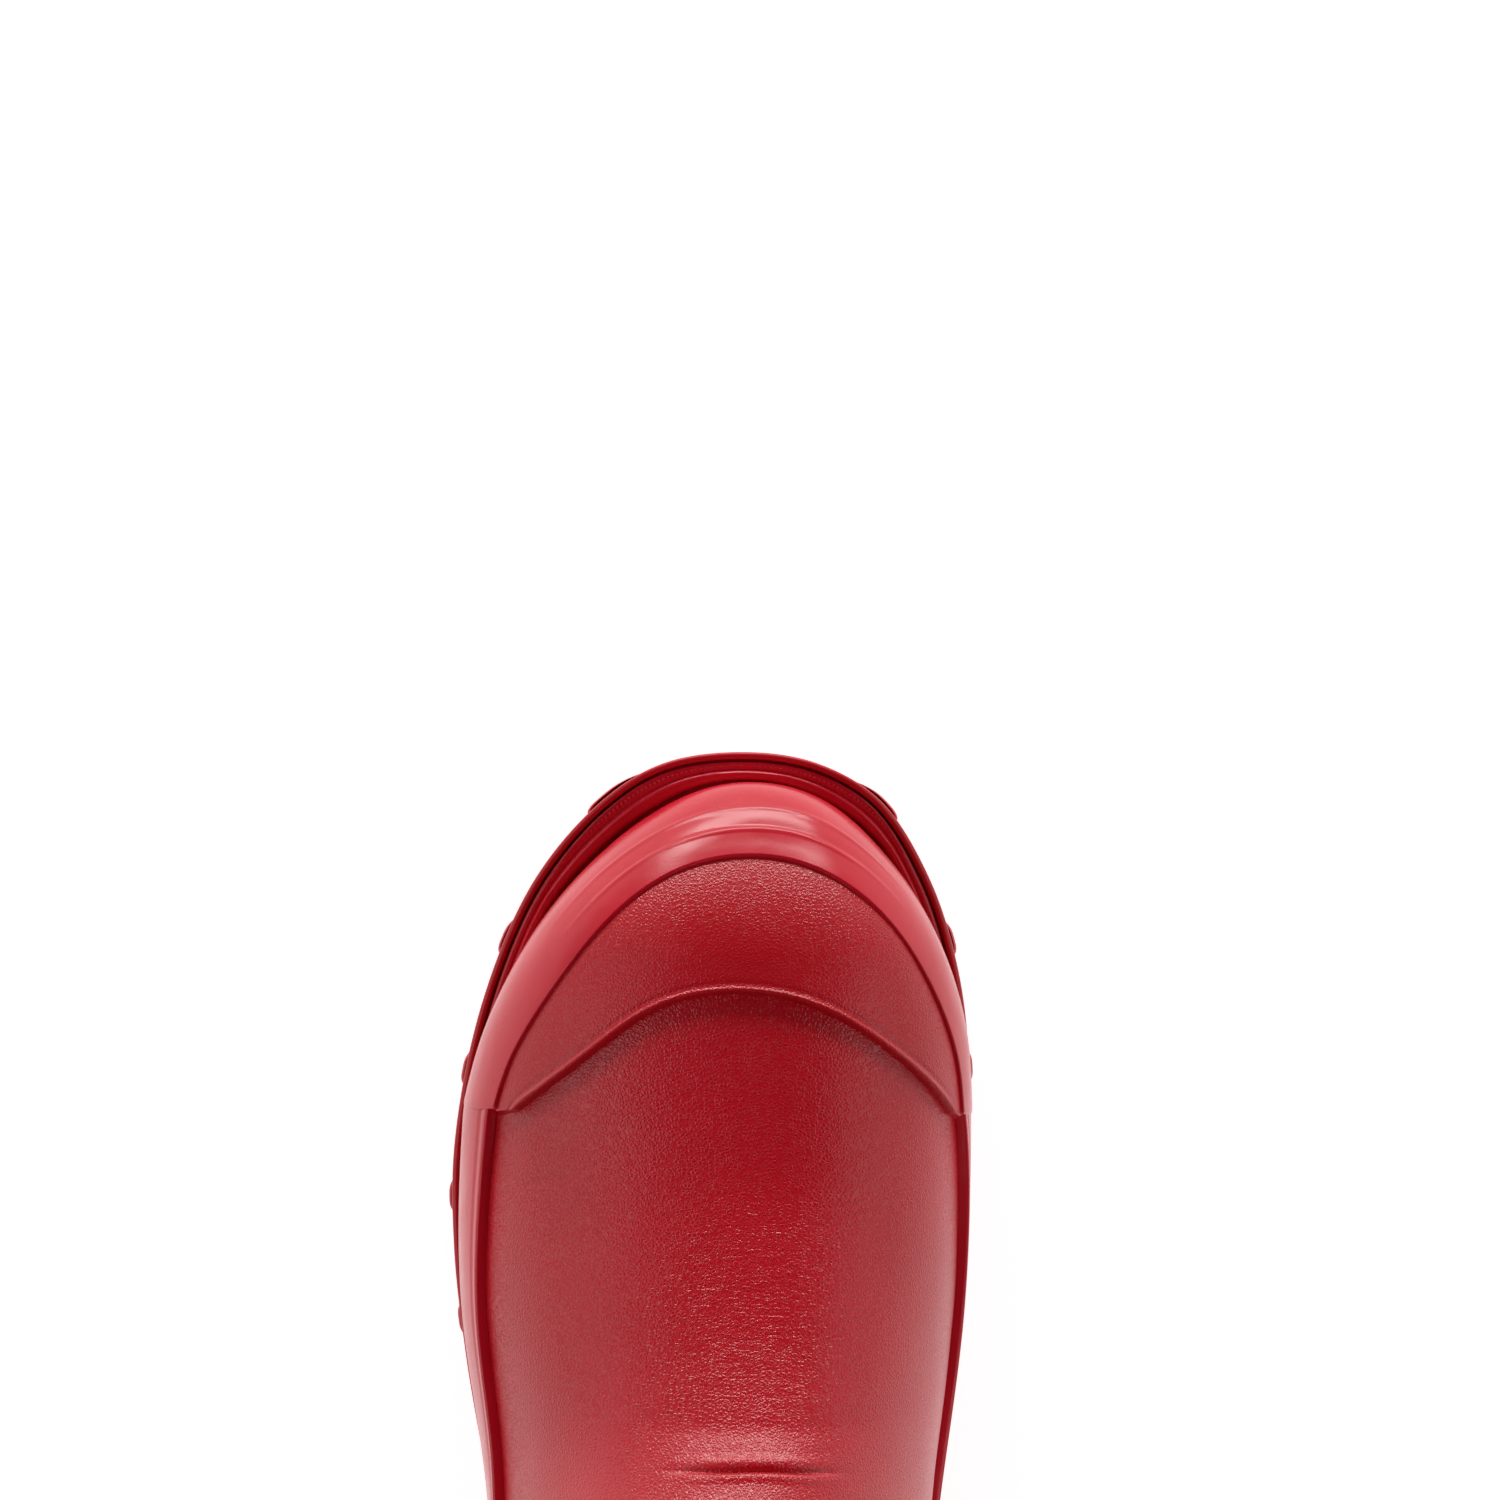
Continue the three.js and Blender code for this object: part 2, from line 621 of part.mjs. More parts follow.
function welt() {
  const inner = prism(insetOutline(weltInner), -1, 61);
  const strip = prism(insetOutline(weltInset), 0, 60).subtract(inner);
  const raised = prism(insetOutline(weltInner - bead.width), 0, 60).subtract(inner);
  const whole = strip.intersect(floorSlab(0, lip.height)).add(raised.intersect(floorSlab(0, weltTop)));
  return fromManifold(whole.subtract(inside(gap, -5)));
}

const shankPlace = { x: -1.5, middle: lengthwise(180.5) };
function shankShape(play) {
  const { length, width } = shankSize;
  const half = width / 2 + play;
  const [front, back] = [-1, 1].map((end) => along(shankPlace.middle + (end * length) / 2) + end * play);
  const corner = half * 0.6;
  const shape = new THREE.Shape();
  shape.moveTo(-half + corner, front).lineTo(half - corner, front).lineTo(half, front + corner);
  shape.lineTo(half, back - corner).lineTo(half - corner, back).lineTo(-half + corner, back);
  shape.lineTo(-half, back - corner).lineTo(-half, front + corner).closePath();
  return shape.getPoints().map((p) => p.add(new THREE.Vector2(shankPlace.x, 0)));
}

function filler(front, back) {
  const box = new THREE.BoxGeometry(2 * soleWidth, back - front, 80);
  const cut = toManifold(box.translate(0, along((front + back) / 2), 20));
  const field = prism(insetOutline(marginInset + gap), 0, 60).intersect(cut);
  return fromManifold(field.intersect(floorSlab(0, rubber)).subtract(prism(shankShape(clearance), 0, 60)));
}

function shank() {
  const top = boardFloor - clearance;
  return fromManifold(prism(shankShape(0), 0, 60).intersect(floorSlab(top - shankSize.thickness, top)));
}

function plate(out, from, to) {
  return fromManifold(inside(out, -20).intersect(floorSlab(from, to)));
}

// ---------------------------------------------------------------- overlays

// Height of the rand's upper edge above the floor line, against the way round.
const randTop = spline([
  [-1.1, 33],
  [-0.85, 35],
  [-0.5, 35.5],
  [-0.2, 33.5],
  [0.1, 32.5],
  [0.4, 33.3],
  [0.65, 34],
  [1.1, 31],
]);
// How much higher than at the heel the foxing's upper edge is: it rises to the rand on both sides of the ball,
// steeply on the inner side.
const foxingRise = spline([
  [1.05, 10],
  [1.18, 4],
  [1.34, -1],
  [1.7, -1.5],
  [2.2, 0],
  [3, 0],
  [3.8, 0.5],
  [4.15, 5],
  [4.5, 11.5],
  [4.97, 12],
]);
const foxingEdge = (p) => foxingTop + foxingRise(p);
const randCorners = { out: beside(73.5, false) - 6, in: beside(74.5, true) };
const cornerPlay = 0.006;

// Line where the toe cap ends over the vamp: distance from the toe tip against the angle round the foot,
// 0 on the lateral side, 90 over the top and 180 on the medial side.
const capLine = spline([
  [28, 72.5],
  [33, 69.5],
  [46, 61.5],
  [60, 53.5],
  [75, 49.3],
  [92, 48.3],
  [110, 50.2],
  [122, 54],
  [140, 64],
  [154, 73],
]);
const capHub = { x: -5, height: 27 };
const capAngles = { out: 28.5, in: 154 };
const capOrigin = new THREE.Vector3(-6, along(lengthwise(60)), 34);

function capRay(angle) {
  const fromToe = lengthwise(capLine(angle));
  const from = new THREE.Vector3(capHub.x, along(fromToe), capHub.height);
  const turn = (angle * Math.PI) / 180;
  const to = cast(from, new THREE.Vector3(from.x + Math.cos(turn), from.y, from.z + Math.sin(turn)), 0);
  return { from: capOrigin, to };
}

// Ray to the rand's upper edge, `up` above it along the face.
function randEdgeRay(p, up = 0) {
  const { to } = sideRay(p, randTop(p));
  const higher = sideRay(p, randTop(p) + 1).to;
  const step = higher.sub(to);
  return { from: capOrigin, to: to.clone().addScaledVector(step, up / step.length()) };
}

function toeRand() {
  const columns = range(37).map((i) => {
    const p = mix(randCorners.out + cornerPlay, randCorners.in - cornerPlay, i / 36);
    return [sideRay(p, overlayFloor), randEdgeRay(p)];
  });
  return overlay(columns, 6, randGap, randGap + randThickness);
}

function sideFoxing() {
  const columns = range(49).map((i) => {
    const p = mix(randCorners.in + cornerPlay, randCorners.out + 6 - cornerPlay, i / 48);
    return [sideRay(p, overlayFloor), sideRay(p, foxingEdge(p))];
  });
  return overlay(columns, 4, randGap, randGap + randThickness);
}

function toeCap() {
  const columns = range(29).map((i) => {
    const t = i / 28;
    const p = mix(randCorners.out, randCorners.in, t);
    return [randEdgeRay(p, seamGap), capRay(mix(capAngles.out, capAngles.in, t))];
  });
  return overlay(columns, 6, gap, gap + patch);
}

const heelPatchTop = spline([
  [2.35, 24],
  [2.6, 48],
  [3, 66],
  [3.4, 48],
  [3.65, 24],
]);
function heelPatch() {
  const columns = range(25).map((i) => {
    const p = mix(2.36, 3.64, i / 24);
    return [sideRay(p, foxingEdge(p) + seamGap), sideRay(p, heelPatchTop(p))];
  });
  return overlay(columns, 5, gap, gap + patch);
}

// Half of a width round the heel, as a share of a quarter turn.
const heelRadius = soleLength - lengthwise(240) - 6;
const heelShare = (width) => (Math.asin(width / 2 / heelRadius) * 2) / Math.PI;

const topStationHeight = lines.backZ(topStation) - lines.backZ(topStation - 1);
const bandBottomStation = topStation - topBand.height / topStationHeight;
function heelStay() {
  const top = lines.backZ(bandBottomStation) - floorZ(along(soleLength)) - 1.5;
  const half = heelShare(backStay.width);
  const columns = range(5).map((i) => {
    const p = mix(3 - half, 3 + half, i / 4);
    return [sideRay(p, backStay.bottom), sideRay(p, top)];
  });
  return overlay(columns, 14, gap, gap + patch);
}

function topBandRing() {
  return sleeve(bandBottomStation, topStation, [gap + topBand.thickness, 0], [gap, 0], 0.3);
}

function kickSpur() {
  const base = randGap + randThickness + gap;
  const half = heelShare(spur.width);
  const columns = range(13).map((i) => {
    const p = mix(3 - half, 3 + half, i / 12);
    return { p, reach: 0.8 + spur.reach * Math.sin((i / 12) * Math.PI) ** 0.6 };
  });
  const face = (outOf) =>
    columns.map((c) =>
      range(4).map((k) => {
        const { from, to } = sideRay(c.p, mix(spur.bottom, spur.top, k / 3));
        const hit = cast(from, to, base);
        const aim = new THREE.Vector3().subVectors(to, from).normalize();
        return hit.addScaledVector(aim, outOf(c, k));
      }),
    );
  const shelf = [0.55, 0.85, 1, 0.92];
  return sheet(face((c, k) => c.reach * shelf[k]), face(() => 0));
}

const puffPlay = 0.4; // more room inside the toe puff, where the lining bends tightest
function toePuff() {
  const columns = range(17).map((i) => {
    const turn = mix(-1.25, 1.25, i / 16);
    const ray = (tilt) => {
      const level = Math.cos(tilt);
      const aim = new THREE.Vector3(-Math.sin(turn) * level, -Math.cos(turn) * level, Math.sin(tilt));
      return { from: capOrigin, to: cast(capOrigin, capOrigin.clone().add(aim), 0) };
    };
    return [ray(-0.02), ray(0.95)];
  });
  const out = stiffenerOut + puffPlay;
  return overlay(columns, 7, out - stiffener, out);
}

function heelCounter() {
  const columns = range(21).map((i) => {
    const p = mix(2.15, 3.85, i / 20);
    const top = mix(24, 52, Math.sin((i / 20) * Math.PI));
    return [sideRay(p, liningFloor + 5), sideRay(p, top)];
  });
  return overlay(columns, 5, stiffenerOut - stiffener, stiffenerOut);
}

// ---------------------------------------------------------------- pull loop

// Patch of rubber over the loop's two sewn ends, which it holds between itself and the top band.
const anchorThickness = 2 * webbing + 0.4;
const anchorOut = gap + topBand.thickness + gap;
const anchorTop = legHeight - anchor.below;
function loopAnchor() {
  const columns = range(7).map((i) => {
    const side = (i / 6) * 2 - 1;
    const from = (z) => new THREE.Vector3((side * anchor.width) / 2, heelHub.y, z);
    const ray = (z) => ({ from: from(z), to: cast(from(z), from(z).add(new THREE.Vector3(0, 1, 0)), 0) });
    const cutCorner = Math.abs(side) > 0.9 ? anchor.cutCorner : 0;
    return [ray(anchorTop - anchor.height + cutCorner), ray(anchorTop)];
  });
  return overlay(columns, 4, anchorOut, anchorOut + anchorThickness);
}

// Where the loop bends: the middle of the two layers of webbing, just above the anchor.
const loopBend = {
  y: along(topBack) + anchorOut + anchorThickness / 2,
  z: anchorTop + clearance + webbing,
};

// Webbing folded on itself, drawn from the side and as wide as the webbing: two layers that lie together at
// the bend and open to `reach` above it.
function pullLoop() {
  const straight = 4;
  const opened = 15;
  const top = loop.rise - loop.reach / 2;
  const halfWidth = (z) => mix(webbing, loop.reach / 2, smooth((z - straight) / (opened - straight)));
  const arc = (radius, height, start, end, count) =>
    range(count + 1).map((i) => {
      const angle = mix(start, end, i / count);
      return new THREE.Vector2(radius * Math.cos(angle), height + radius * Math.sin(angle));
    });
  const side = (sign, inset, low) =>
    range(7).map((i) => mix(low, top, i / 7)).map((z) => new THREE.Vector2(sign * (halfWidth(z) - inset), z));
  const rim = [
    ...arc(webbing, 0, Math.PI, Math.PI * 2, 6),
    ...side(1, 0, 1),
    ...arc(loop.reach / 2, top, 0, Math.PI, 10),
    ...side(-1, 0, 1).reverse(),
  ];
  const hole = [
    ...side(1, webbing, straight + 3),
    ...arc(loop.reach / 2 - webbing, top, 0, Math.PI, 10),
    ...side(-1, webbing, straight + 3).reverse(),
  ];
  const shape = new THREE.Shape(rim);
  shape.holes.push(new THREE.Path(hole));
  const geometry = new THREE.ExtrudeGeometry(shape, { depth: loop.width, bevelEnabled: false });
  geometry.translate(0, 0, -loop.width / 2);
  const [x, y, z] = [new THREE.Vector3(1, 0, 0), new THREE.Vector3(0, 1, 0), new THREE.Vector3(0, 0, 1)];
  geometry.applyMatrix4(new THREE.Matrix4().makeBasis(y, z, x));
  return geometry.translate(0, loopBend.y, loopBend.z);
}

// ---------------------------------------------------------------- assembly

const group = new THREE.Group();
function add(name, geometry, color, roughness = 0.5) {
  const mesh = new THREE.Mesh(geometry, new THREE.MeshStandardMaterial({ color, roughness }));
  mesh.name = name;
  group.add(mesh);
}

const red = 0xb3202e;
add("outsole", outsole(), 0xa81d2a);
add("welt", welt(), 0xb8303c);
const fillerSplit = lengthwise(126.5);
add("forefoot_filler", filler(0, fillerSplit - gap), 0x8a6a45, 0.9);
add("heel_filler", filler(fillerSplit + gap, soleLength), 0x8a6a45, 0.9);
add("shank", shank(), 0x9a9ea3, 0.35);
const board = plate(-(rubber + gap) - boardInset, boardFloor, boardFloor + boardThickness);
add("insole_board", board, 0xb9a27a, 0.9);
add("vamp", vamp(), red);
add("leg", leg(), red);
add("toe_cap", toeCap(), 0xa61b28);
add("toe_rand", toeRand(), 0xc23a48);
add("side_foxing", sideFoxing(), 0xc23a48);
add("heel_patch", heelPatch(), 0xa61b28);
add("kick_spur", kickSpur(), 0xa81d2a);
add("back_stay", heelStay(), 0xa61b28);
add("top_band", topBandRing(), 0xc23a48);
add("loop_anchor", loopAnchor(), 0xa61b28);
add("pull_loop", pullLoop(), 0x7d1620, 0.8);
add("toe_puff", toePuff(), 0x3b3b3d, 0.8);
add("heel_counter", heelCounter(), 0x3b3b3d, 0.8);
add("foot_lining", lining(0, ankleSeam - halfLap), 0xd9d2c3, 0.95);
add("leg_lining", lining(ankleSeam + halfLap, topStation - 0.03), 0xd9d2c3, 0.95);
add("footbed", plate(liningIn - bedInset, bedFloor, bedTop), 0x5b5f66, 0.9);
const coverFloor = bedTop + clearance;
add("footbed_cover", plate(liningIn - bedInset, coverFloor, coverFloor + coverThickness), 0x8d8f94, 0.95);

// The origin goes to the middle of the footprint of everything that was built.
const middle = new THREE.Box3().setFromObject(group).getCenter(new THREE.Vector3());
for (const mesh of group.children) mesh.geometry.translate(-middle.x, -middle.y, 0);

export default group;
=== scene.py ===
# %% [markdown]
# # A rubber rain boot, for the left foot
#
# The boot is built by hand on a last: a lining is pulled over a foot-shaped form, sheets of soft rubber are
# laid on it one over the other, and the whole is vulcanised. This script repeats that order. It loads the
# measured parts first, then makes the same shapes again, finely, as sheets that lie on one shared surface.
#
# ## Loading the frame
#
# The measured parts carry the sizes and the joints. Every finished piece goes where they are, so they are
# loaded first, and the box that any one of them fills can be read from it.

# %% Load the frame
import json
import math

import bmesh
import bpy
import numpy as np
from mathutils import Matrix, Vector
from mathutils.bvhtree import BVHTree
from mathutils.kdtree import KDTree


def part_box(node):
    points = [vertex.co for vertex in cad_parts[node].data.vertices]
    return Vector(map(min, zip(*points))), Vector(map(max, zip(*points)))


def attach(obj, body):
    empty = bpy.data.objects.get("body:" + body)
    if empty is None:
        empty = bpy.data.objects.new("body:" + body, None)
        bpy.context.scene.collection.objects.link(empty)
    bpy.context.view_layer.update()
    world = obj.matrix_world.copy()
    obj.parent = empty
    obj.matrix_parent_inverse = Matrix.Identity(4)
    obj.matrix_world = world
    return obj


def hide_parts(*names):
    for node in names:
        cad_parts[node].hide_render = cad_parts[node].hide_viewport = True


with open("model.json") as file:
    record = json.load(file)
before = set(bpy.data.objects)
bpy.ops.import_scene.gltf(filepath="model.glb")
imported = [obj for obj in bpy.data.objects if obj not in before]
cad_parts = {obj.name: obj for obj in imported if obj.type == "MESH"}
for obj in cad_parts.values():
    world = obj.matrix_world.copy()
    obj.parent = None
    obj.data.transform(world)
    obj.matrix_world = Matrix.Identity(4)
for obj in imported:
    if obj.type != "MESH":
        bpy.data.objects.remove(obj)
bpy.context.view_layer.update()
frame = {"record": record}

# %% [markdown]
# ## Camera
#
# The boot is looked at straight from above, with the toe up. A long lens keeps the sides of the boot nearly
# upright. The leg stays below the lower edge of the view.

# %% Camera
MM = 0.001
TOE_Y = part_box("outsole")[0].y / MM  # the toe tip of the sole, along the boot
LEDGE_HEIGHT = 20.0  # the ledge of the sole at the toe, where the view's scale is taken
CAMERA_HEIGHT = 1400.0
VIEW_WIDTH = 308.6  # of what the camera sees at the ledge
SENSOR = 36.0
TOE_TIP_X = -6.4

camera_data = bpy.data.cameras.new("camera")
camera_data.sensor_width = SENSOR
camera_data.lens = SENSOR * CAMERA_HEIGHT / VIEW_WIDTH
camera = bpy.data.objects.new("camera", camera_data)
bpy.context.scene.collection.objects.link(camera)
camera.location = Vector((TOE_TIP_X - 1.4, TOE_Y - 0.4, CAMERA_HEIGHT + LEDGE_HEIGHT)) * MM
camera.rotation_euler = (0, 0, math.pi)
bpy.context.scene.camera = camera
print("lens", round(camera_data.lens, 1), "mm")

# %% [markdown]
# ## Small tools
#
# Three tools carry the shapes: a smooth curve through a few measured points, a soft step from 0 to 1, and a
# gentle random field that keeps large surfaces from looking machined.

# %% Curves, steps and noise


def spline(points):
    """Smooth curve through (x, y) pairs, straight on beyond its ends. It takes and gives arrays."""
    x = np.array([p[0] for p in points], float)
    y = np.array([p[1] for p in points], float)
    n = len(x)
    system = np.eye(n)
    right = np.zeros(n)
    for i in range(1, n - 1):
        before, after = x[i] - x[i - 1], x[i + 1] - x[i]
        system[i, i - 1 : i + 2] = before, 2 * (before + after), after
        right[i] = 6 * ((y[i + 1] - y[i]) / after - (y[i] - y[i - 1]) / before)
    bend = np.linalg.solve(system, right)

    def curve(at):
        at = np.asarray(at, float)
        inside = np.clip(at, x[0], x[-1])
        i = np.clip(np.searchsorted(x, inside, side="left"), 1, n - 1)
        h = x[i] - x[i - 1]
        a = (x[i] - inside) / h
        b = 1 - a
        value = a * y[i - 1] + b * y[i]
        value = value + ((a**3 - a) * bend[i - 1] + (b**3 - b) * bend[i]) * h * h / 6
        first = (y[1] - y[0]) / (x[1] - x[0]) - (x[1] - x[0]) * bend[1] / 6
        last = (y[-1] - y[-2]) / (x[-1] - x[-2]) + (x[-1] - x[-2]) * bend[-2] / 6
        return value + np.minimum(at - x[0], 0) * first + np.maximum(at - x[-1], 0) * last

    return curve


def mix(a, b, t):
    return a + (b - a) * t


def soft_step(t, start=0.0, end=1.0):
    t = np.clip((np.asarray(t, float) - start) / (end - start), 0, 1)
    return t * t * (3 - 2 * t)


def bell(t, middle, width):
    return np.exp(-(((t - middle) / width) ** 2))


def field(points, size, seed):
    """Smooth random values, about -1 to 1, that change over `size` millimetres."""
    cell = np.asarray(points, float) / size
    low = np.floor(cell).astype(np.int64)
    part = cell - low
    part = part * part * (3 - 2 * part)
    total = np.zeros(cell.shape[:-1])
    for corner in np.ndindex(2, 2, 2):
        key = (low + corner) @ np.array([73856093, 19349663, 83492791]) + seed * 2654435761
        key = (key ^ (key >> 13)) * 1274126177 & 0xFFFFFFFF
        value = ((key ^ (key >> 16)) & 0xFFFF) / 32767.5 - 1
        weight = np.prod(np.where(np.array(corner), part, 1 - part), axis=-1)
        total += value * weight
    return total


print("spline check:", float(spline([(0, 0), (1, 2), (2, 0)])(1)))

# %% [markdown]
# ## The shape of the upper
#
# A boot is a tube that is closed at the toe and bent at the ankle. It is described by slices: in the foot
# they stand upright, they fan out round the ankle, and in the leg they lie flat. Each slice has a point on
# the front line, one on the back line, its width on both sides and how round it is. The numbers are the
# ones that the measured parts were made with, in millimetres, and distances are counted from the toe tip.

# %% Slices
floor_line = spline(
    [(8, 22), (30, 17.2), (55, 14.2), (85, 13), (115, 13.7), (148, 17), (185, 22.5), (222, 26), (286, 26.5)]
)
SLICES = [
    # front line   back line   ridge  lateral medial  widest at   over  under
    (8.3, 51, 8.3, 8, -6.4, 46.6, -48.6, 0.55, 0.55, 2.2, 2.6),
    (30, 57.5, 30, 4, -8.5, 46.6, -49.2, 0.5, 0.52, 2.2, 2.6),
    (55, 64, 55, 2, -11, 47.4, -50.4, 0.42, 0.48, 2.15, 2.6),
    (85, 71.5, 85, 0, -12.5, 49.4, -50.6, 0.36, 0.45, 2.1, 2.6),
    (115, 83, 117, 0, -12, 48.8, -49, 0.31, 0.39, 2.05, 2.6),
    (133, 93.5, 153, 4, -10.5, 44.2, -45.4, 0.3, 0.43, 2, 2.4),
    (146, 105, 196, 8, -8.5, 41.5, -42.4, 0.38, 0.46, 2, 2),
    (155, 118, 241, 6, -6.5, 40, -40.2, 0.46, 0.48, 2, 1.7),
    (160.5, 132.5, 272, 14, -5, 40.8, -40.8, 0.5, 0.5, 2, 1.7),
    (163, 149, 280, 46, -4, 42, -42, 0.5, 0.5, 2, 1.85),
    (163.5, 168, 277, 90, -3, 43, -42.8, 0.5, 0.5, 2, 2),
    (162.5, 192, 272.5, 138, -2, 44.4, -44, 0.5, 0.5, 2, 2),
    (160.5, 224, 273.5, 192, -1, 47, -46.4, 0.5, 0.5, 2, 2),
    (157.5, 262, 278.5, 252, 0, 50.2, -49.8, 0.5, 0.5, 2, 2),
    (155, 300, 283, 300, 0, 53, -53, 0.5, 0.5, 2, 2),
]
(front_y, front_z, back_y, back_z, ridge_x, lateral_x, medial_x, lateral_at, medial_at, over, under) = [
    spline([(i, row[k]) for i, row in enumerate(SLICES)]) for k in range(11)
]
TOP = len(SLICES) - 1
ANKLE_SEAM = 5.5  # slice where the leg laps the vamp
TIP = (TOE_TIP_X, 8.3, 34.0)  # where the toe closes: sideways, from the toe tip, height


def closing(y, length, full):
    """How far the toe has opened, 0 at its tip and 1 after `length`."""
    t = np.clip((y - TIP[1]) / length, 0, 1)
    power = mix(2, full, soft_step(t / 0.05))
    return (1 - (1 - t) ** power) ** (1 / power)


def skin(u, v):
    """Outer face of the rubber at slice u and turn v: 0 lateral, 0.25 front, 0.5 medial, 0.75 back."""
    u, v = np.broadcast_arrays(np.asarray(u, float), np.asarray(v, float))
    turn = (v % 1.0) * 4
    quarter = np.floor(turn).astype(int) % 4
    angle = (turn - np.floor(turn)) * math.pi / 2
    is_lateral = (quarter == 0) | (quarter == 3)
    is_over = quarter < 2
    rise = np.where((quarter == 0) | (quarter == 2), angle, math.pi / 2 - angle)
    power = 2 / np.where(is_over, over(u), under(u))
    across = np.clip(np.cos(rise), 0, 1) ** power
    up = np.clip(np.sin(rise), 0, 1) ** power

    y = front_y(u)
    opened = np.where(is_lateral, closing(y, 66, 1.7), closing(y, 60, 2))
    widest = mix(TIP[0], np.where(is_lateral, lateral_x(u), medial_x(u)), opened)
    widest_at = np.where(is_lateral, lateral_at(u), medial_at(u))
    z_front = mix(TIP[2], front_z(u), closing(y, 34, 2))
    z_back = mix(TIP[2], back_z(u), closing(y, 13, 2))
    share = np.where(is_over, mix(widest_at, 1, up), widest_at * (1 - up))
    ridge = ridge_x(u)
    middle = np.where(is_over, ridge, mix(ridge, (lateral_x(u) + medial_x(u)) / 2, soft_step(up)))
    return np.stack([mix(middle, widest, across), mix(back_y(u), y, share), mix(z_back, z_front, share)], -1)


def unit(a):
    return a / np.maximum(np.linalg.norm(a, axis=-1, keepdims=True), 1e-12)


def skin_normal(u, v):
    step = 1e-3
    du = skin(u + step, v) - skin(np.maximum(u - step, 0), v)
    dv = skin(u, v + step) - skin(u, v - step)
    normal = unit(np.cross(du, dv))
    turned_in = (u < 0.1) & (normal[..., 1] > 0)  # at the pole the cross product can point backwards
    normal = np.where(turned_in[..., None], -normal, normal)
    return np.where((u < 2 * step)[..., None], np.array([0.0, -1.0, 0.0]), normal)


print("ball of the foot:", skin(3.0, [0.0, 0.25, 0.5]).round(1).tolist())

# %% [markdown]
# ## Shells and sheets
#
# Two kinds of mesh make nearly everything here. A shell is a stack of rings round the whole boot. A sheet
# lies on part of it. Both are closed bodies with a real thickness, because each piece is a solid of rubber.

# %% Rings round the boot


def corner_turn(u, out, lift, widest):
    """Turn at which each slice meets its floor on one side, or the back line where it stays above it."""
    high = np.full_like(u, widest)
    low = np.full_like(u, 0.75)

    def above(v):
        p = skin(u, v) + skin_normal(u, v) * out
        return p[..., 2] - floor_line(p[..., 1]) - lift

    stays_above = above(low) >= 0
    for _ in range(26):
        middle = (high + low) / 2
        is_above = above(middle) > 0
        high = np.where(is_above, middle, high)
        low = np.where(is_above, low, middle)
    return np.where(stays_above, 0.75, high)


def shell_grid(u, out, lift, wall_turns, floor_turns):
    """Rings of points, `out` from the rubber and at least `lift` above the floor line."""
    lateral = corner_turn(u, out, lift, 1.0)[:, None]
    medial = corner_turn(u, out, lift, 0.5)[:, None]
    wall = mix(lateral - 1, medial, np.arange(wall_turns) / wall_turns)
    floor = mix(medial, lateral, np.arange(floor_turns) / floor_turns)
    v = np.concatenate([wall, floor], 1)
    u = np.broadcast_to(u[:, None], v.shape)
    p = skin(u, v) + skin_normal(u, v) * out
    p[..., 2] = np.maximum(p[..., 2], floor_line(p[..., 1]) + lift)
    return p


# %% Meshes from grids


def grid_faces(rows, columns, start=0, around=False, ring=False):
    """Quads of a grid of rows by columns. `around` joins the last column to the first, `ring` the rows."""
    i = np.arange(rows if ring else rows - 1)[:, None]
    j = np.arange(columns if around else columns - 1)[None, :]
    k, m = (i + 1) % rows, (j + 1) % columns
    quads = np.stack([i * columns + j, i * columns + m, k * columns + m, k * columns + j], -1)
    return quads.reshape(-1, 4) + start


def border(rows, columns, around, ring):
    """The open edges of such a grid, as pairs of points that run the same way as its faces."""
    pairs = []
    if not ring:
        j = np.arange(columns if around else columns - 1)
        m = (j + 1) % columns
        pairs += [np.stack([j, m], -1), np.stack([(rows - 1) * columns + m, (rows - 1) * columns + j], -1)]
    if not around:
        i = np.arange(rows if ring else rows - 1)
        k = (i + 1) % rows
        pairs += [np.stack([k * columns, i * columns], -1)]
        pairs += [np.stack([i * columns + columns - 1, k * columns + columns - 1], -1)]
    return np.concatenate(pairs) if pairs else np.zeros((0, 2), int)


def closed_sheet(outer, inner, around=False, ring=False):
    """Points and quads of a closed body between two grids of the same size."""
    rows, columns = outer.shape[:2]
    count = rows * columns
    top = grid_faces(rows, columns, 0, around, ring)
    bottom = grid_faces(rows, columns, count, around, ring)[:, ::-1]
    edge = border(rows, columns, around, ring)
    sides = np.stack([edge[:, 1], edge[:, 0], edge[:, 0] + count, edge[:, 1] + count], -1)
    return np.concatenate([outer.reshape(-1, 3), inner.reshape(-1, 3)]), np.concatenate([top, bottom, sides])


WELD = 2e-6  # metres


def make_piece(name, parts, material, body, replaces, crease=50):
    """A mesh object from (points, faces) in boot millimetres, smooth up to `crease` degrees."""
    bm = bmesh.new()
    for points, faces in parts:
        world = (np.asarray(points) + np.array([0.0, TOE_Y, 0.0])) * MM
        verts = [bm.verts.new(p) for p in world.tolist()]
        for face in np.asarray(faces).tolist():
            bm.faces.new([verts[i] for i in face])
        bmesh.ops.remove_doubles(bm, verts=verts, dist=WELD)
    bmesh.ops.recalc_face_normals(bm, faces=bm.faces)
    mesh = bpy.data.meshes.new(name)
    bm.to_mesh(mesh)
    bm.free()
    mesh.polygons.foreach_set("use_smooth", [True] * len(mesh.polygons))
    mesh.set_sharp_from_angle(angle=math.radians(crease))
    obj = bpy.data.objects.new(name, mesh)
    bpy.context.scene.collection.objects.link(obj)
    mesh.materials.append(material)
    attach(obj, body)
    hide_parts(*replaces)
    print(name, len(mesh.vertices), "points")
    return obj
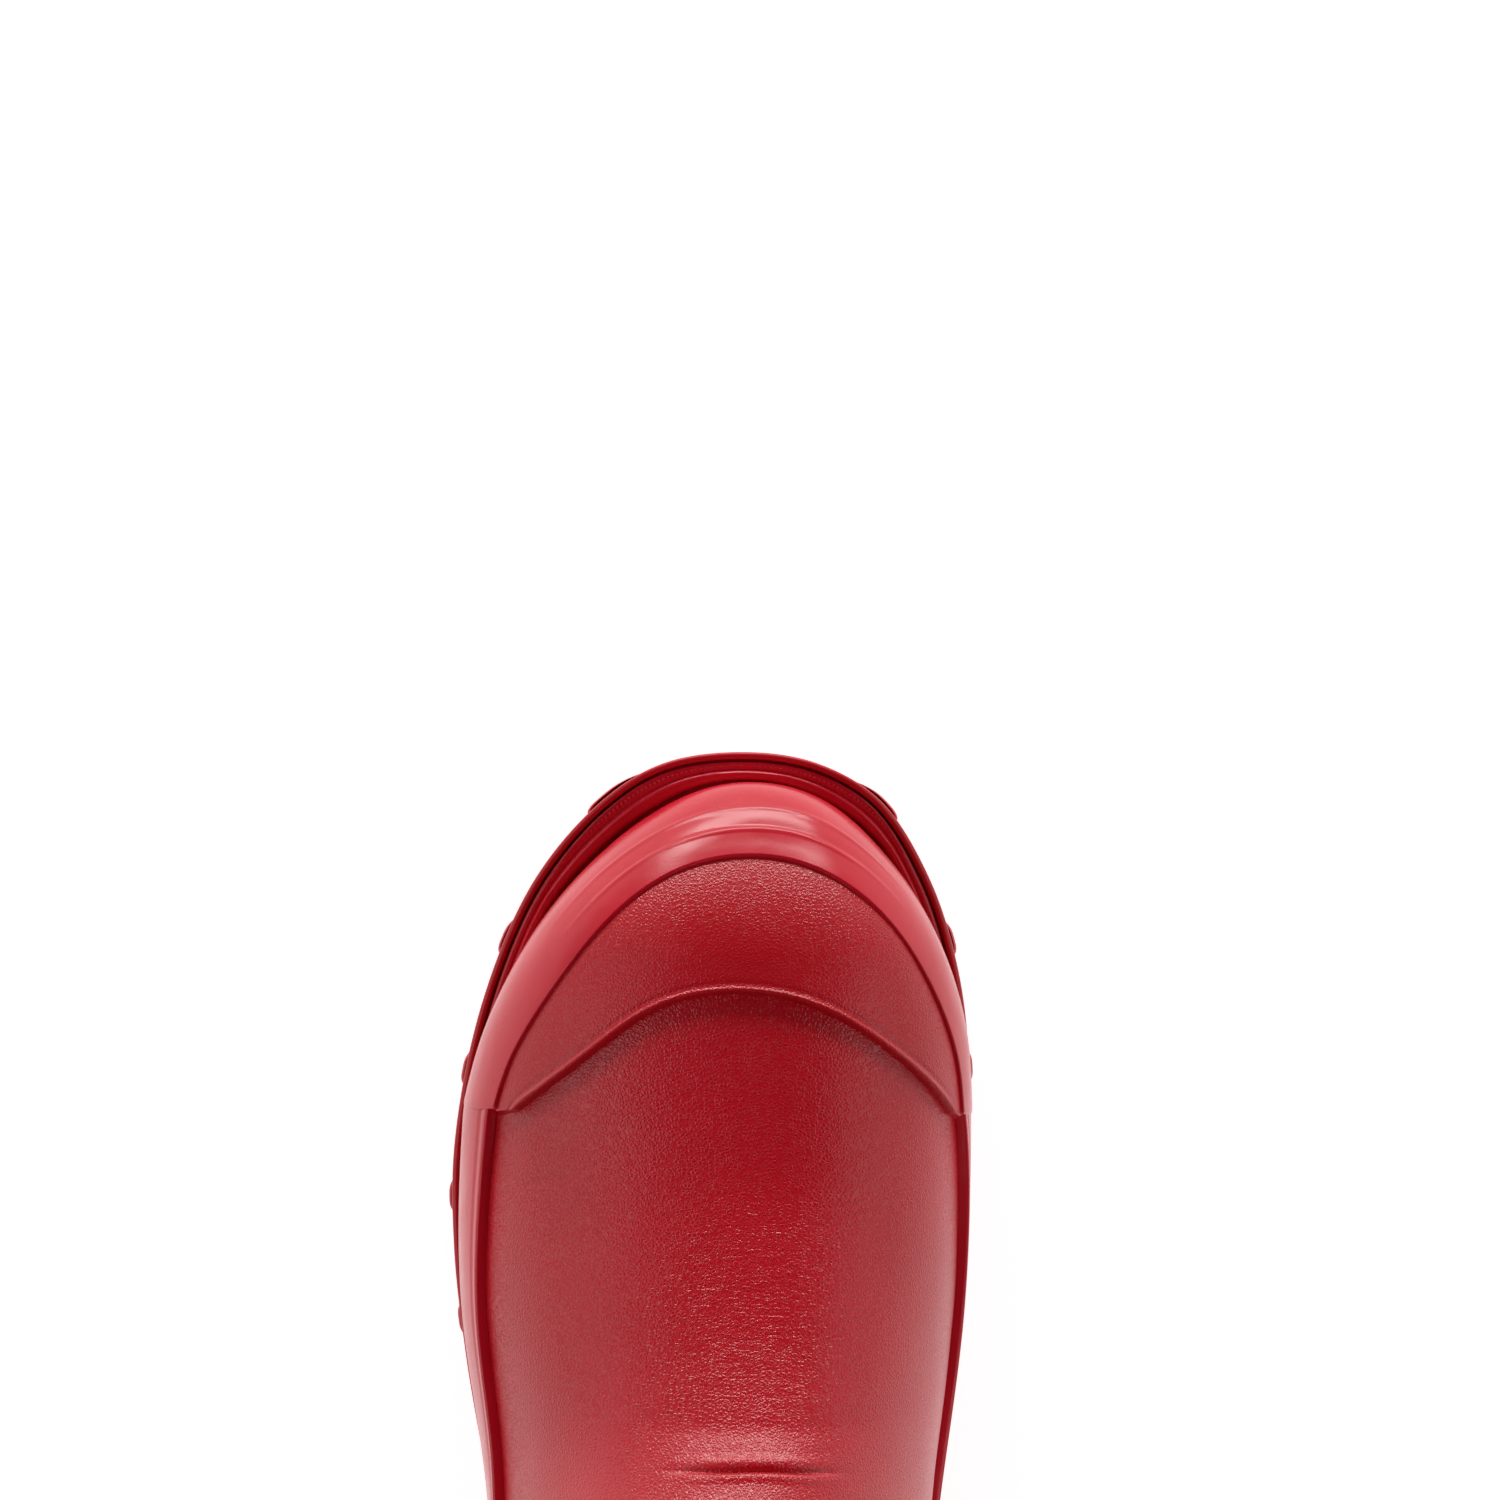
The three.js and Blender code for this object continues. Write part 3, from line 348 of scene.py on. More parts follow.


# %% [markdown]
# ## Finding places on the upper
#
# The overlays follow lines that are easy to say: so far up the side, or so far back over the toe. A
# ray from inside the boot finds where such a line lies on the upper. The grid of hits is smoothed a little,
# which takes out the facets of the mesh that the rays meet.

# %% Rays to the upper


def toe_rows(first, count):
    """Slices from near the closed tip, closer together there."""
    return 1.2 * (1 - np.cos(np.linspace(first, math.pi / 2, count)))


probe_u = np.concatenate([toe_rows(0, 60)[:-1], np.linspace(1.2, TOP, 300)])
probe_v = np.arange(300) / 300
probe_grid = skin(probe_u[:, None], probe_v[None, :])
probe = BVHTree.FromPolygons(
    probe_grid.reshape(-1, 3).tolist(), grid_faces(len(probe_u), len(probe_v), around=True).tolist()
)


def cast(origins, targets):
    """Where rays from `origins` towards `targets` leave the upper."""
    shape = origins.shape[:-1]
    hits = []
    for start, aim in zip(origins.reshape(-1, 3), targets.reshape(-1, 3)):
        hit = probe.ray_cast(Vector(start), Vector(aim - start))[0]
        if hit is None:
            raise ValueError(f"no wall from {start} towards {aim}")
        hits.append(hit)
    return np.array(hits).reshape(*shape, 3)


TOE_HUB = np.array([-3.0, 62.0])
HEEL_HUB = np.array([-0.5, 240.0])


def hub_of(p):
    """Middle of the foot and the way out from it at place p, which runs round the foot.

    It is -1 to 1 round the toe, lateral to medial, 2 to 4 round the heel, and reaches -1 again at 5."""
    at = (np.asarray(p, float)[..., None] + 1) % 6 - 1
    toe, heel = at <= 1, (at >= 2) & (at <= 4)
    along = np.where(toe, 0.0, np.where(heel, 1.0, np.where(at < 2, at - 1, 5 - at)))
    angle = at * math.pi / 2
    toe_way = np.concatenate([-np.sin(angle), -np.cos(angle)], -1)
    heel_way = np.concatenate([np.cos(angle), -np.sin(angle)], -1)
    side_way = np.concatenate([np.where(at < 2, -1.0, 1.0), 0 * at], -1)
    return TOE_HUB + (HEEL_HUB - TOE_HUB) * along, np.where(toe, toe_way, np.where(heel, heel_way, side_way))


def side_ray(p, height):
    """Rays to the upper at place p round the foot and a height above the floor line."""
    p, height = np.broadcast_arrays(np.asarray(p, float), np.asarray(height, float))
    hub, aim = hub_of(p)
    start = np.concatenate([hub, (height + floor_line(hub[..., 1]))[..., None]], -1)
    for _ in range(3):
        hit = cast(start, start + np.concatenate([aim, np.zeros(p.shape + (1,))], -1))
        start[..., 2] = height + floor_line(hit[..., 1])
    hit[..., 2] = start[..., 2]
    return start, hit


def level_ray(p, height):
    return side_ray(p, np.full_like(p, height))


def beside(from_toe, medial):
    t = (from_toe - TOE_HUB[1]) / (HEEL_HUB[1] - TOE_HUB[1])
    return 1 + t if medial else 5 - t


def lay(starts, ends, share, smoothing=4):
    """Grid of points on the upper, with its outward normals. Each row runs from a start ray to an end ray."""
    t = np.asarray(share)[None, :, None]
    origins = mix(starts[0][:, None], ends[0][:, None], t)
    targets = mix(starts[1][:, None], ends[1][:, None], t)
    grid = cast(origins, targets)
    for _ in range(smoothing):
        for axis in (0, 1):
            g = np.moveaxis(grid, axis, 0)
            g[1:-1] = (g[:-2] + 2 * g[1:-1] + g[2:]) / 4
    normal = unit(np.cross(np.gradient(grid, axis=0), np.gradient(grid, axis=1)))
    outward = np.sum(normal * (grid - origins), -1, keepdims=True)
    return grid, normal * np.where(outward < 0, -1.0, 1.0)


def edge_distances(grid):
    """Millimetres from each point to the grid's four edges: first and last column, first and last row."""
    down = np.linalg.norm(np.diff(grid, axis=0), axis=-1)
    along_rows = np.concatenate([np.zeros((1, grid.shape[1])), np.cumsum(down, 0)])
    right = np.linalg.norm(np.diff(grid, axis=1), axis=-1)
    along_columns = np.concatenate([np.zeros((grid.shape[0], 1)), np.cumsum(right, 1)], 1)
    return along_rows, along_rows[-1:] - along_rows, along_columns, along_columns[:, -1:] - along_columns


def rounded(distance, radius):
    """Height of a rounded edge, 0 at the edge and 1 from `radius` inwards."""
    t = np.clip(distance / radius, 0, 1)
    return np.sqrt(1 - (1 - t) ** 2)


def crowded(count, crowding=1.0):
    """Shares from 0 to 1, closer together towards both ends."""
    s = np.linspace(0, 1, count)
    return mix(s, (1 - np.cos(math.pi * s)) / 2, crowding)


print("side of the ball:", side_ray([0.9], [15.0])[1].round(1).tolist())

# %% [markdown]
# ## Materials
#
# The boot is one colour of red natural rubber, yet its pieces don't look alike. The sheets of the upper are
# rolled on an embossed cylinder and keep a fine leather grain. The trim is rolled on a polished one and
# stays smooth and satin. The sole is moulded. Each material below starts from what it really is.
#
# A node tree is easier to read when every node is added in the same way, so one function adds a node with
# its settings and its links. A second one turns the hex colours of a colour card into Blender's linear ones.

# %% Colours and nodes


def linear(hex_colour):
    """Linear RGBA of an sRGB hex colour."""
    channels = [int(hex_colour[i : i + 2], 16) / 255 for i in (1, 3, 5)]
    return [c / 12.92 if c <= 0.04045 else ((c + 0.055) / 1.055) ** 2.4 for c in channels] + [1.0]


def add_node(tree, kind, inputs, **settings):
    """Add a node. `inputs` gives each named or numbered socket a value, or a node or output to link from."""
    node = tree.nodes.new("ShaderNode" + kind)
    for name, value in settings.items():
        setattr(node, name, value)
    for key, value in inputs.items():
        if isinstance(value, bpy.types.Node):
            value = value.outputs[0]
        if isinstance(value, bpy.types.NodeSocket):
            tree.links.new(value, node.inputs[key])
        else:
            node.inputs[key].default_value = value
    return node


def new_material(name, colour, roughness, **shader):
    """A material with its Principled shader, and the object's own coordinates in metres."""
    material = bpy.data.materials.new(name)
    material.use_nodes = True
    tree = material.node_tree
    bsdf = tree.nodes["Principled BSDF"]
    bsdf.inputs["Base Color"].default_value = linear(colour)
    bsdf.inputs["Roughness"].default_value = roughness
    for key, value in shader.items():
        bsdf.inputs[key.replace("_", " ")].default_value = value
    return material, tree, bsdf, add_node(tree, "TexCoord", {}).outputs["Object"]


def per_metre(size_mm):
    return 1 / (size_mm * MM)


def blend(tree, bsdf, share, dark, light):
    """Base colour between a dark and a light tone."""
    inputs = {"Factor": share, 6: linear(dark), 7: linear(light)}
    tree.links.new(add_node(tree, "Mix", inputs, data_type="RGBA").outputs[2], bsdf.inputs["Base Color"])


def tone(tree, bsdf, place, dark, light, size_mm, low, high):
    """Slow change between two colours, as in rubber that has been handled and wiped."""
    noise = add_node(tree, "TexNoise", {"Vector": place, "Scale": per_metre(size_mm), "Detail": 3.0})
    share = add_node(tree, "MapRange", {"Value": noise, "From Min": low, "From Max": high})
    blend(tree, bsdf, share, dark, light)


def vary_roughness(tree, bsdf, place, middle, change, size_mm):
    noise = add_node(tree, "TexNoise", {"Vector": place, "Scale": per_metre(size_mm), "Detail": 1.0})
    limits = {"From Min": 0.3, "From Max": 0.7, "To Min": middle - change, "To Max": middle + change}
    rough = add_node(tree, "MapRange", {"Value": noise, **limits})
    tree.links.new(rough.outputs[0], bsdf.inputs["Roughness"])


def raise_surface(tree, bsdf, height, depth_mm):
    """Bump of a real depth in millimetres, on top of any bump that is there already."""
    inputs = {"Height": height, "Distance": depth_mm * MM, "Strength": 1.0}
    if bsdf.inputs["Normal"].is_linked:
        inputs["Normal"] = bsdf.inputs["Normal"].links[0].from_socket
    tree.links.new(add_node(tree, "Bump", inputs).outputs[0], bsdf.inputs["Normal"])


print("postbox red:", [round(c, 3) for c in linear("#B3202E")])

# %% [markdown]
# ### Grained upper rubber
#
# Natural rubber has an index of refraction of about 1.52. The embossing roll gives it pebbles of about
# 0.7 mm with shallow creases between them, which break up every reflection into a soft sheen. Pebbles come
# from the borders of a cell texture. Over the instep, where the sheet was stretched round the last, the
# grain has been drawn out into short wrinkles that run across the foot. There the same kind of texture is
# squeezed lengthwise and faded in.

# %% Upper rubber
PEBBLE, PEBBLE_DEPTH = 0.75, 0.06  # millimetres
WRINKLE = (4.2, 1.15, 2.0)  # across the foot, along it and up
WRINKLE_CENTRE = (-9.0, TOE_Y + 112.0, 76.0)
WRINKLE_REACH = (26.0, 34.0, 40.0)
RUBBER_IOR = 1.52
CLOUDED = 0.36  # specular level of smooth rubber under a film of talc, where clear rubber has 0.5


def upper_rubber(name, dark, light, roughness, depth, wrinkled=False):
    material, tree, bsdf, place = new_material(name, light, roughness, IOR=RUBBER_IOR, Specular_IOR_Level=0.5)
    tone(tree, bsdf, place, dark, light, 38, 0.25, 0.75)
    vary_roughness(tree, bsdf, place, roughness, 0.02, 14)
    bend = add_node(tree, "TexNoise", {"Vector": place, "Scale": per_metre(3.0), "Detail": 2.0})
    sway = {0: bend.outputs["Color"], 1: (0.6 * PEBBLE * MM,) * 3}
    shift = add_node(tree, "VectorMath", sway, operation="MULTIPLY")
    warped = add_node(tree, "VectorMath", {0: place, 1: shift}, operation="ADD")
    scale = {"Vector": warped, "Scale": per_metre(PEBBLE)}
    cells = add_node(tree, "TexVoronoi", scale, feature="DISTANCE_TO_EDGE")
    pebble = add_node(tree, "MapRange", {"Value": cells, "From Max": 0.34}, interpolation_type="SMOOTHSTEP")
    raise_surface(tree, bsdf, pebble, depth)
    fine = add_node(tree, "TexNoise", {"Vector": place, "Scale": per_metre(0.35), "Detail": 3.0})
    raise_surface(tree, bsdf, fine, 0.012)
    if wrinkled:
        per_wrinkle = [per_metre(size) for size in WRINKLE]
        squeezed = add_node(tree, "VectorMath", {0: warped, 1: per_wrinkle}, operation="MULTIPLY")
        wavy = {"Vector": squeezed, "Scale": 1.0, "Detail": 3.0, "Distortion": 0.6}
        lines = add_node(tree, "TexNoise", wavy)
        area = add_node(tree, "VectorMath", {0: place, 1: [-c * MM for c in WRINKLE_CENTRE]}, operation="ADD")
        per_reach = [per_metre(size) for size in WRINKLE_REACH]
        ball = add_node(tree, "VectorMath", {0: area, 1: per_reach}, operation="MULTIPLY")
        away = add_node(tree, "VectorMath", {0: ball}, operation="LENGTH").outputs["Value"]
        fading = {"Value": away, "From Min": 1.0, "From Max": 0.45}
        near = add_node(tree, "MapRange", fading, interpolation_type="SMOOTHSTEP")
        raise_surface(tree, bsdf, add_node(tree, "Math", {0: lines, 1: near}, operation="MULTIPLY"), 0.17)
    return material


grained_rubber = upper_rubber(
    "grained natural rubber, calendered", "#BC0C1B", "#CA1426", 0.3, PEBBLE_DEPTH, wrinkled=True
)
cap_rubber = upper_rubber("grained natural rubber, toe cap", "#B60A18", "#C41022", 0.31, 0.75 * PEBBLE_DEPTH)
print(grained_rubber.name, "pebble", PEBBLE, "mm")

# %% [markdown]
# ### Smooth trim and moulded sole
#
# The rand, foxing and bands are cut from rubber that is rolled between polished cylinders. What the eye gets
# is a calm satin band with soft, wide highlights. A faint cloudiness, from the talc that keeps the sheets
# apart, keeps it from looking like plastic. The sole is pressed in a blasted steel mould, so it is a little
# more matt, with a very fine, even texture.

# %% Trim and sole rubber


def smooth_rubber(name, dark, light, roughness, grit_mm, grit_depth):
    gloss = {"IOR": RUBBER_IOR, "Specular_IOR_Level": CLOUDED}
    material, tree, bsdf, place = new_material(name, light, roughness, **gloss)
    tone(tree, bsdf, place, dark, light, 30, 0.25, 0.75)
    vary_roughness(tree, bsdf, place, roughness, 0.03, 9)
    grit = add_node(tree, "TexNoise", {"Vector": place, "Scale": per_metre(grit_mm), "Detail": 3.0})
    raise_surface(tree, bsdf, grit, grit_depth)
    ripple = add_node(tree, "TexNoise", {"Vector": place, "Scale": per_metre(7.0), "Detail": 1.0})
    raise_surface(tree, bsdf, ripple, 0.12)
    return material


trim_rubber = smooth_rubber("smooth natural rubber, calendered", "#C41226", "#D01C30", 0.25, 0.5, 0.008)
patch_rubber = smooth_rubber("smooth natural rubber, patches", "#B60E1C", "#C41425", 0.3, 0.5, 0.012)
sole_rubber = smooth_rubber("moulded rubber, blasted mould", "#B80E1E", "#C61627", 0.36, 0.4, 0.02)
print([m.name for m in (trim_rubber, patch_rubber, sole_rubber)])

# %% [markdown]
# ### Textiles
#
# The lining is a polyester jersey: columns of small interlocked loops about 1.4 mm apart, drawn here a
# little coarser than the real stitch so that it shows. Two crossed waves make the columns and the rows. The
# webbing of the pull loop is a tight plain weave of thick yarns. Cloth has no clear reflection, so both are
# rough, with a soft sheen of loose fibre.

# %% Knit and webbing


def textile(name, dark, light, spacing, depth_mm, roughness=0.9):
    """Cloth with yarns `spacing` millimetres apart across and along."""
    material, tree, bsdf, place = new_material(name, light, roughness, IOR=1.5, Sheen_Weight=0.35)
    bsdf.inputs["Sheen Roughness"].default_value = 0.5
    tone(tree, bsdf, place, dark, light, 5, 0.35, 0.65)
    across, along, up = (
        add_node(
            tree,
            "TexWave",
            {"Vector": place, "Scale": per_metre(gap) / math.tau * 0.314, "Distortion": 0.4},
            bands_direction=way,
        )
        for gap, way in ((spacing[0], "X"), (spacing[0], "Y"), (spacing[1], "Z"))
    )
    columns = add_node(tree, "Math", {0: across, 1: along}, operation="MAXIMUM")
    raise_surface(tree, bsdf, add_node(tree, "Math", {0: columns, 1: up}, operation="MULTIPLY"), depth_mm)
    fuzz = add_node(tree, "TexNoise", {"Vector": place, "Scale": per_metre(0.4), "Detail": 4.0})
    raise_surface(tree, bsdf, fuzz, 0.08)
    return material


jersey = textile("polyester jersey, knitted", "#C9C0B0", "#DED6C7", (1.4, 1.1), 0.25)
bed_knit = textile("polyester knit, brushed", "#7E8187", "#979AA0", (1.2, 1.0), 0.2)
loop_webbing = textile("polyester webbing, woven", "#6B0F19", "#85182A", (1.3, 0.9), 0.3, 0.75)
print([m.name for m in (jersey, bed_knit, loop_webbing)])

# %% [markdown]
# ### What is hidden inside
#
# Under the insole board lie a cork-and-rubber filler and a spring-steel shank, and at toe and heel a stiff
# sheet sits between rubber and lining. None of it shows in a finished boot, but the parts are there when it
# comes apart on a bench, so each gets a finish of its own. A cork filler is crumbs in a binder, a board is
# pressed fibre, and the shank is rolled steel with lines along it.

# %% Inner materials


def crumbs(name, dark, light, grain_mm, depth_mm, roughness):
    material, tree, bsdf, place = new_material(name, light, roughness, IOR=1.5)
    cells = add_node(tree, "TexVoronoi", {"Vector": place, "Scale": per_metre(grain_mm)})
    blend(tree, bsdf, add_node(tree, "SeparateColor", {"Color": cells.outputs["Color"]}), dark, light)
    raise_surface(tree, bsdf, cells, depth_mm)
    return material


def rolled_steel():
    material, tree, bsdf, place = new_material("spring steel, rolled", "#9DA1A6", 0.34, Metallic=1.0)
    stretched = add_node(tree, "VectorMath", {0: place, 1: (5000, 120, 5000)}, operation="MULTIPLY")
    lines = add_node(tree, "TexNoise", {"Vector": stretched, "Scale": 1.0, "Detail": 2.0})
    raise_surface(tree, bsdf, lines, 0.01)
    return material


INNER = {
    "forefoot_filler": crumbs("cork compound, pressed", "#7A5633", "#A37A4C", 1.6, 0.15, 0.9),
    "shank": rolled_steel(),
    "insole_board": crumbs("cellulose board, pressed", "#AD966C", "#C3AF86", 0.8, 0.05, 0.85),
    "toe_puff": crumbs("stiffener sheet, impregnated felt", "#2F2F32", "#454549", 0.6, 0.05, 0.8),
}
INNER["heel_filler"] = INNER["forefoot_filler"]
INNER["heel_counter"] = INNER["toe_puff"]
for node, material in INNER.items():
    bpy.data.objects[node].material_slots[0].material = material
bed_foam = crumbs("EVA foam, skived", "#54575E", "#666A72", 0.7, 0.06, 0.85)
print("hidden pieces:", sorted(INNER))

# %% [markdown]
# ## Vamp and leg
#
# The vamp is the sheet over the forefoot, and the leg laps onto it at the instep. Both are one shell of
# 2.2 mm rubber with its lower edge turned in under the insole board. Hand-laid rubber is never quite even:
# a slow random swell of a fifth of a millimetre makes the long highlights waver a little. Where the leg bends
# over the foot, a dark crease crosses the instep and fades out on both sides, with two softer ones beside it.

# %% Upper shells
RUBBER = 2.2
MARGIN = 20.0  # how far the lower edge is turned in
CREASE_X, CREASE_SLICE, CREASE_BOW = -9.0, 5.47, -0.00022
SLICE_STEP = 17.4  # millimetres along the instep from one slice to the next


def swell(p):
    return 0.2 * field(p, 31, 1) + 0.07 * field(p, 11, 2)


def crease(u, v, p):
    """Grooves and soft rolls across the instep, deepest on the ridge of the foot."""
    x = p[..., 0] - CREASE_X
    waver = 0.0132 * field(p * (1, 0, 0), 9, 5)
    along = (u - CREASE_SLICE - CREASE_BOW * x**2 - waver) * SLICE_STEP
    on_top = v % 1.0 < 0.5

    close = -0.85 * bell(along, 0, 0.55) + 0.35 * bell(along, 1.7, 1.1) + 0.35 * bell(along, -2.0, 1.3)
    wide = -0.3 * bell(along, -9.0, 3.2) - 0.25 * bell(along, 8.0, 3.0)
    return on_top * (np.exp(-((x / 13.5) ** 4)) * close + np.exp(-((x / 22) ** 4)) * wide)


def open_turns(u, wall, margin):
    """Turns from one turned-in edge, up over the boot and down to the other."""
    lateral = corner_turn(u, 0.0, 0.0, 1.0)
    medial = corner_turn(u, 0.0, 0.0, 0.5)
    across = np.linalg.norm(skin(u, lateral) - skin(u, medial), axis=-1)
    share = np.minimum(0.97, 2 * MARGIN / np.maximum(across, 1e-6)) / 2
    inward = (share * (lateral - medial))[:, None] * np.linspace(1, 0, margin, endpoint=False)
    wall_part = mix(lateral[:, None] - 1, medial[:, None], np.linspace(0, 1, wall))
    return np.concatenate([lateral[:, None] - 1 - inward, wall_part, medial[:, None] + inward[:, ::-1]], 1)


def wall_grid(u, out, lift, wall, margin=5):
    v = open_turns(u, wall, margin)
    u = np.broadcast_to(u[:, None], v.shape)
    p = skin(u, v)
    height = out + (swell(p) + crease(u, v, p) if out == 0 else 0 * v)
    p = p + skin_normal(u, v) * height[..., None]
    on_floor = np.abs(np.arange(v.shape[1]) - (v.shape[1] - 1) / 2) > (wall - 1) / 2 + 0.1
    floor = floor_line(p[..., 1]) + lift
    p[..., 2] = np.where(on_floor, floor, np.maximum(p[..., 2], floor))
    return p


near_seam = np.linspace(4.9, ANKLE_SEAM, 60)
vamp_rows = np.concatenate([toe_rows(0.02, 60), np.linspace(1.2, 4.9, 90)[1:], near_seam[1:]])
leg_rows = np.concatenate([np.linspace(ANKLE_SEAM, 6.1, 60), np.linspace(6.1, TOP, 190)[1:]])
for name, rows in (("vamp", vamp_rows), ("leg", leg_rows)):
    body = closed_sheet(wall_grid(rows, 0.0, 0.0, 280), wall_grid(rows, -RUBBER, RUBBER, 280))
    make_piece(name + "_sheet", [body], grained_rubber, "boot", [name], crease=60)

# %% [markdown]
# ## Toe rand, side foxing and toe cap
#
# These are strips of rubber that cover the joint between upper and sole and guard the toe. Each one is laid
# on the upper between a lower and an upper line, with edges that were skived and pressed round. The rand has
# two fine ridges from its extruder, parallel to its upper edge, that fade out towards the sides. The toe cap
# is a thinner patch of grained rubber with a raised rear edge.

# %% Lines of the overlays
rand_top = spline(
    [(-1.1, 33), (-0.85, 35), (-0.5, 35.5), (-0.2, 33.5), (0.1, 32.5), (0.4, 33.3), (0.65, 34), (1.1, 31)]
)
foxing_rise = spline(  # over its height at the heel
    [(1.05, 10), (1.18, 4), (1.34, -1), (1.7, -1.5), (2.2, 0)]
    + [(3, 0), (3.8, 0.5), (4.15, 5), (4.5, 10.8), (4.97, 10.5)]
)
RAND_CORNERS = (beside(73.5, False) - 6, beside(74.5, True))
OVERLAY_FLOOR = 2.9
FOXING_TOP = 21.0
PATCH_OUT = 1.7  # outer face of a patch, from the rubber
RAND_OUT = 2.55
SEAM_GAP = 0.5
EMBEDDED = -0.15  # the sheets are vulcanised together
cap_line = spline(  # from the toe, against the angle round the foot
    [(28, 72.5), (33, 69.5), (46, 61.5), (60, 53.5), (75, 49.3)]
    + [(92, 48.3), (110, 50.2), (122, 54), (140, 64), (154, 73)]
)
CAP_ORIGIN = np.array([-6.0, 60.0, 34.0])


def rand_edge(p, up=0.0):
    """Rays to the rand's upper edge, or `up` above it along the face."""
    edge = side_ray(p, rand_top(p))[1]
    higher = side_ray(p, rand_top(p) + 1)[1]
    return np.broadcast_to(CAP_ORIGIN, edge.shape), edge + unit(higher - edge) * up


def cap_edge(angle):
    from_toe = cap_line(angle)
    hub = np.stack([np.full_like(angle, -5.0), from_toe, np.full_like(angle, 27.0)], -1)
    turn = np.radians(angle)
    aim = np.stack([np.cos(turn), 0 * turn, np.sin(turn)], -1)
    return np.broadcast_to(CAP_ORIGIN, hub.shape), cast(hub, hub + aim)


def overlay_piece(name, laid, out, edges, material, replaces, relief=None):
    """A sheet on the upper whose edges are rounded by the radii (ends, upper, lower).

    relief(start, end, upper, lower) gets the distances to its four edges and adds millimetres to its face."""
    grid, normal = laid
    start, end, upper, lower = edge_distances(grid)
    ends, high, low = edges
    rise = rounded(np.minimum(np.minimum(start, end) / ends, np.minimum(upper / high, lower / low)), 1.0)
    height = EMBEDDED + (out - EMBEDDED) * rise
    if relief is not None:
        height = height + relief(start, end, upper, lower) * rise
    outer = grid + normal * height[..., None]
    inner = grid + normal * (EMBEDDED - 0.3)
    return make_piece(name, [closed_sheet(outer, inner)], material, "boot", replaces, crease=65)


# %% Rand
across_rand = crowded(84, 0.7)
rand_p = mix(RAND_CORNERS[0] + 0.004, RAND_CORNERS[1] - 0.004, crowded(420, 0.25))
rand_grid, rand_normal = lay(rand_edge(rand_p), level_ray(rand_p, OVERLAY_FLOOR), across_rand)
evened = 0.9 * soft_step(across_rand, 0.15, 0.6)[None, :, None]
for _ in range(260):  # the lower part is drawn evenly round the toe, whatever the upper does under it
    rand_grid[1:-1] += evened * ((rand_grid[:-2] + rand_grid[2:]) / 2 - rand_grid[1:-1]) / 2
rand_normal = np.cross(np.gradient(rand_grid, axis=1), np.gradient(rand_grid, axis=0))
rand_normal = unit(rand_normal * np.sign(np.sum(rand_normal * (rand_grid - CAP_ORIGIN), -1, keepdims=True)))
RIDGES = (6.6, 11.8)  # below the upper edge


def rand_relief(start, end, upper, lower):
    fade = 1 - soft_step(np.abs(rand_p + 0.02)[:, None], 0.3, 0.62)
    ridges = sum(0.26 * bell(upper, at, 0.36) for at in RIDGES)
    steps = 0.2 * soft_step(upper, RIDGES[0] - 0.4, RIDGES[0] + 0.4)
    lip = 0.16 * bell(lower, 2.2, 0.9)
    bulge = 0.9 * bell(rand_p, 0.2, 0.16)[:, None] * soft_step(upper, 3.0, 12.0)
    return fade * (ridges - steps) + lip + bulge


overlay_piece(
    "toe_rand_strip", (rand_grid, rand_normal), RAND_OUT - 0.1, (1.0, 0.45, 1.1), trim_rubber,
    ["toe_rand"], rand_relief,
)

# %% Toe cap
cap_share = crowded(300, 0.35)
cap_p = mix(RAND_CORNERS[0], RAND_CORNERS[1], cap_share)
cap_laid = lay(cap_edge(mix(28.5, 154.0, cap_share)), rand_edge(cap_p, SEAM_GAP - 1.2), crowded(170, 0.8))


def cap_relief(start, end, upper, lower):
    edge = 0.22 * bell(upper, 0.7, 0.4) - 0.1 * bell(upper, 1.9, 0.5)
    return edge + 0.16 * field(cap_laid[0], 19, 8)


overlay_piece(
    "toe_cap_sheet", cap_laid, PATCH_OUT, (0.6, 0.4, 0.6), cap_rubber, ["toe_cap"], cap_relief
)

# %% Side foxing
foxing_p = mix(RAND_CORNERS[1] - 0.012, RAND_CORNERS[0] + 6.012, crowded(900, 0.1))
foxing_laid = lay(
    side_ray(foxing_p, FOXING_TOP + foxing_rise(foxing_p)),
    level_ray(foxing_p, OVERLAY_FLOOR),
    crowded(50, 0.7),
)


def foxing_relief(start, end, upper, lower):
    return 0.12 * bell(upper, 1.1, 0.6) - 0.2 * bell(upper, 3.0, 0.5)


overlay_piece(
    "side_foxing_strip", foxing_laid, RAND_OUT - 0.35, (0.9, 0.5, 0.9), trim_rubber,
    ["side_foxing"], foxing_relief,
)

# %% [markdown]
# ## Heel patch, back stay, kick spur, top band and anchor
#
# At the back, a patch guards the heel, a narrow stay covers the place where the leg sheet meets itself, and
# a shelf sticks out so that the other foot can push the boot off. A band finishes the top line. The anchor
# is the thick patch that holds the pull loop's sewn ends. None of these can be told from the forefoot, so
# they follow what such boots usually have.

# %% Heel patch and back stay
heel_patch_top = spline([(2.35, 24), (2.6, 48), (3, 66), (3.4, 48), (3.65, 24)])
heel_p = mix(2.36, 3.64, crowded(220, 0.3))
heel_laid = lay(
    side_ray(heel_p, heel_patch_top(heel_p)),
    side_ray(heel_p, FOXING_TOP + foxing_rise(heel_p) - 0.8),
    crowded(90, 0.4),
)


def heel_relief(start, end, upper, lower):
    return 0.22 * bell(upper, 1.0, 0.6)


overlay_piece(
    "heel_patch_sheet", heel_laid, PATCH_OUT, (0.8, 0.6, 0.6), cap_rubber, ["heel_patch"],
    heel_relief,
)

STAY_WIDTH = 24.0
BAND_BOTTOM = 13.53
stay_half = math.asin(STAY_WIDTH / 2 / 40) * 2 / math.pi
stay_p = mix(3 - stay_half, 3 + stay_half, crowded(40, 0.6))
stay_top = float(back_z(BAND_BOTTOM) - floor_line(286)) - 1.6
stay_laid = lay(level_ray(stay_p, stay_top), level_ray(stay_p, 68.5), crowded(240, 0.1))


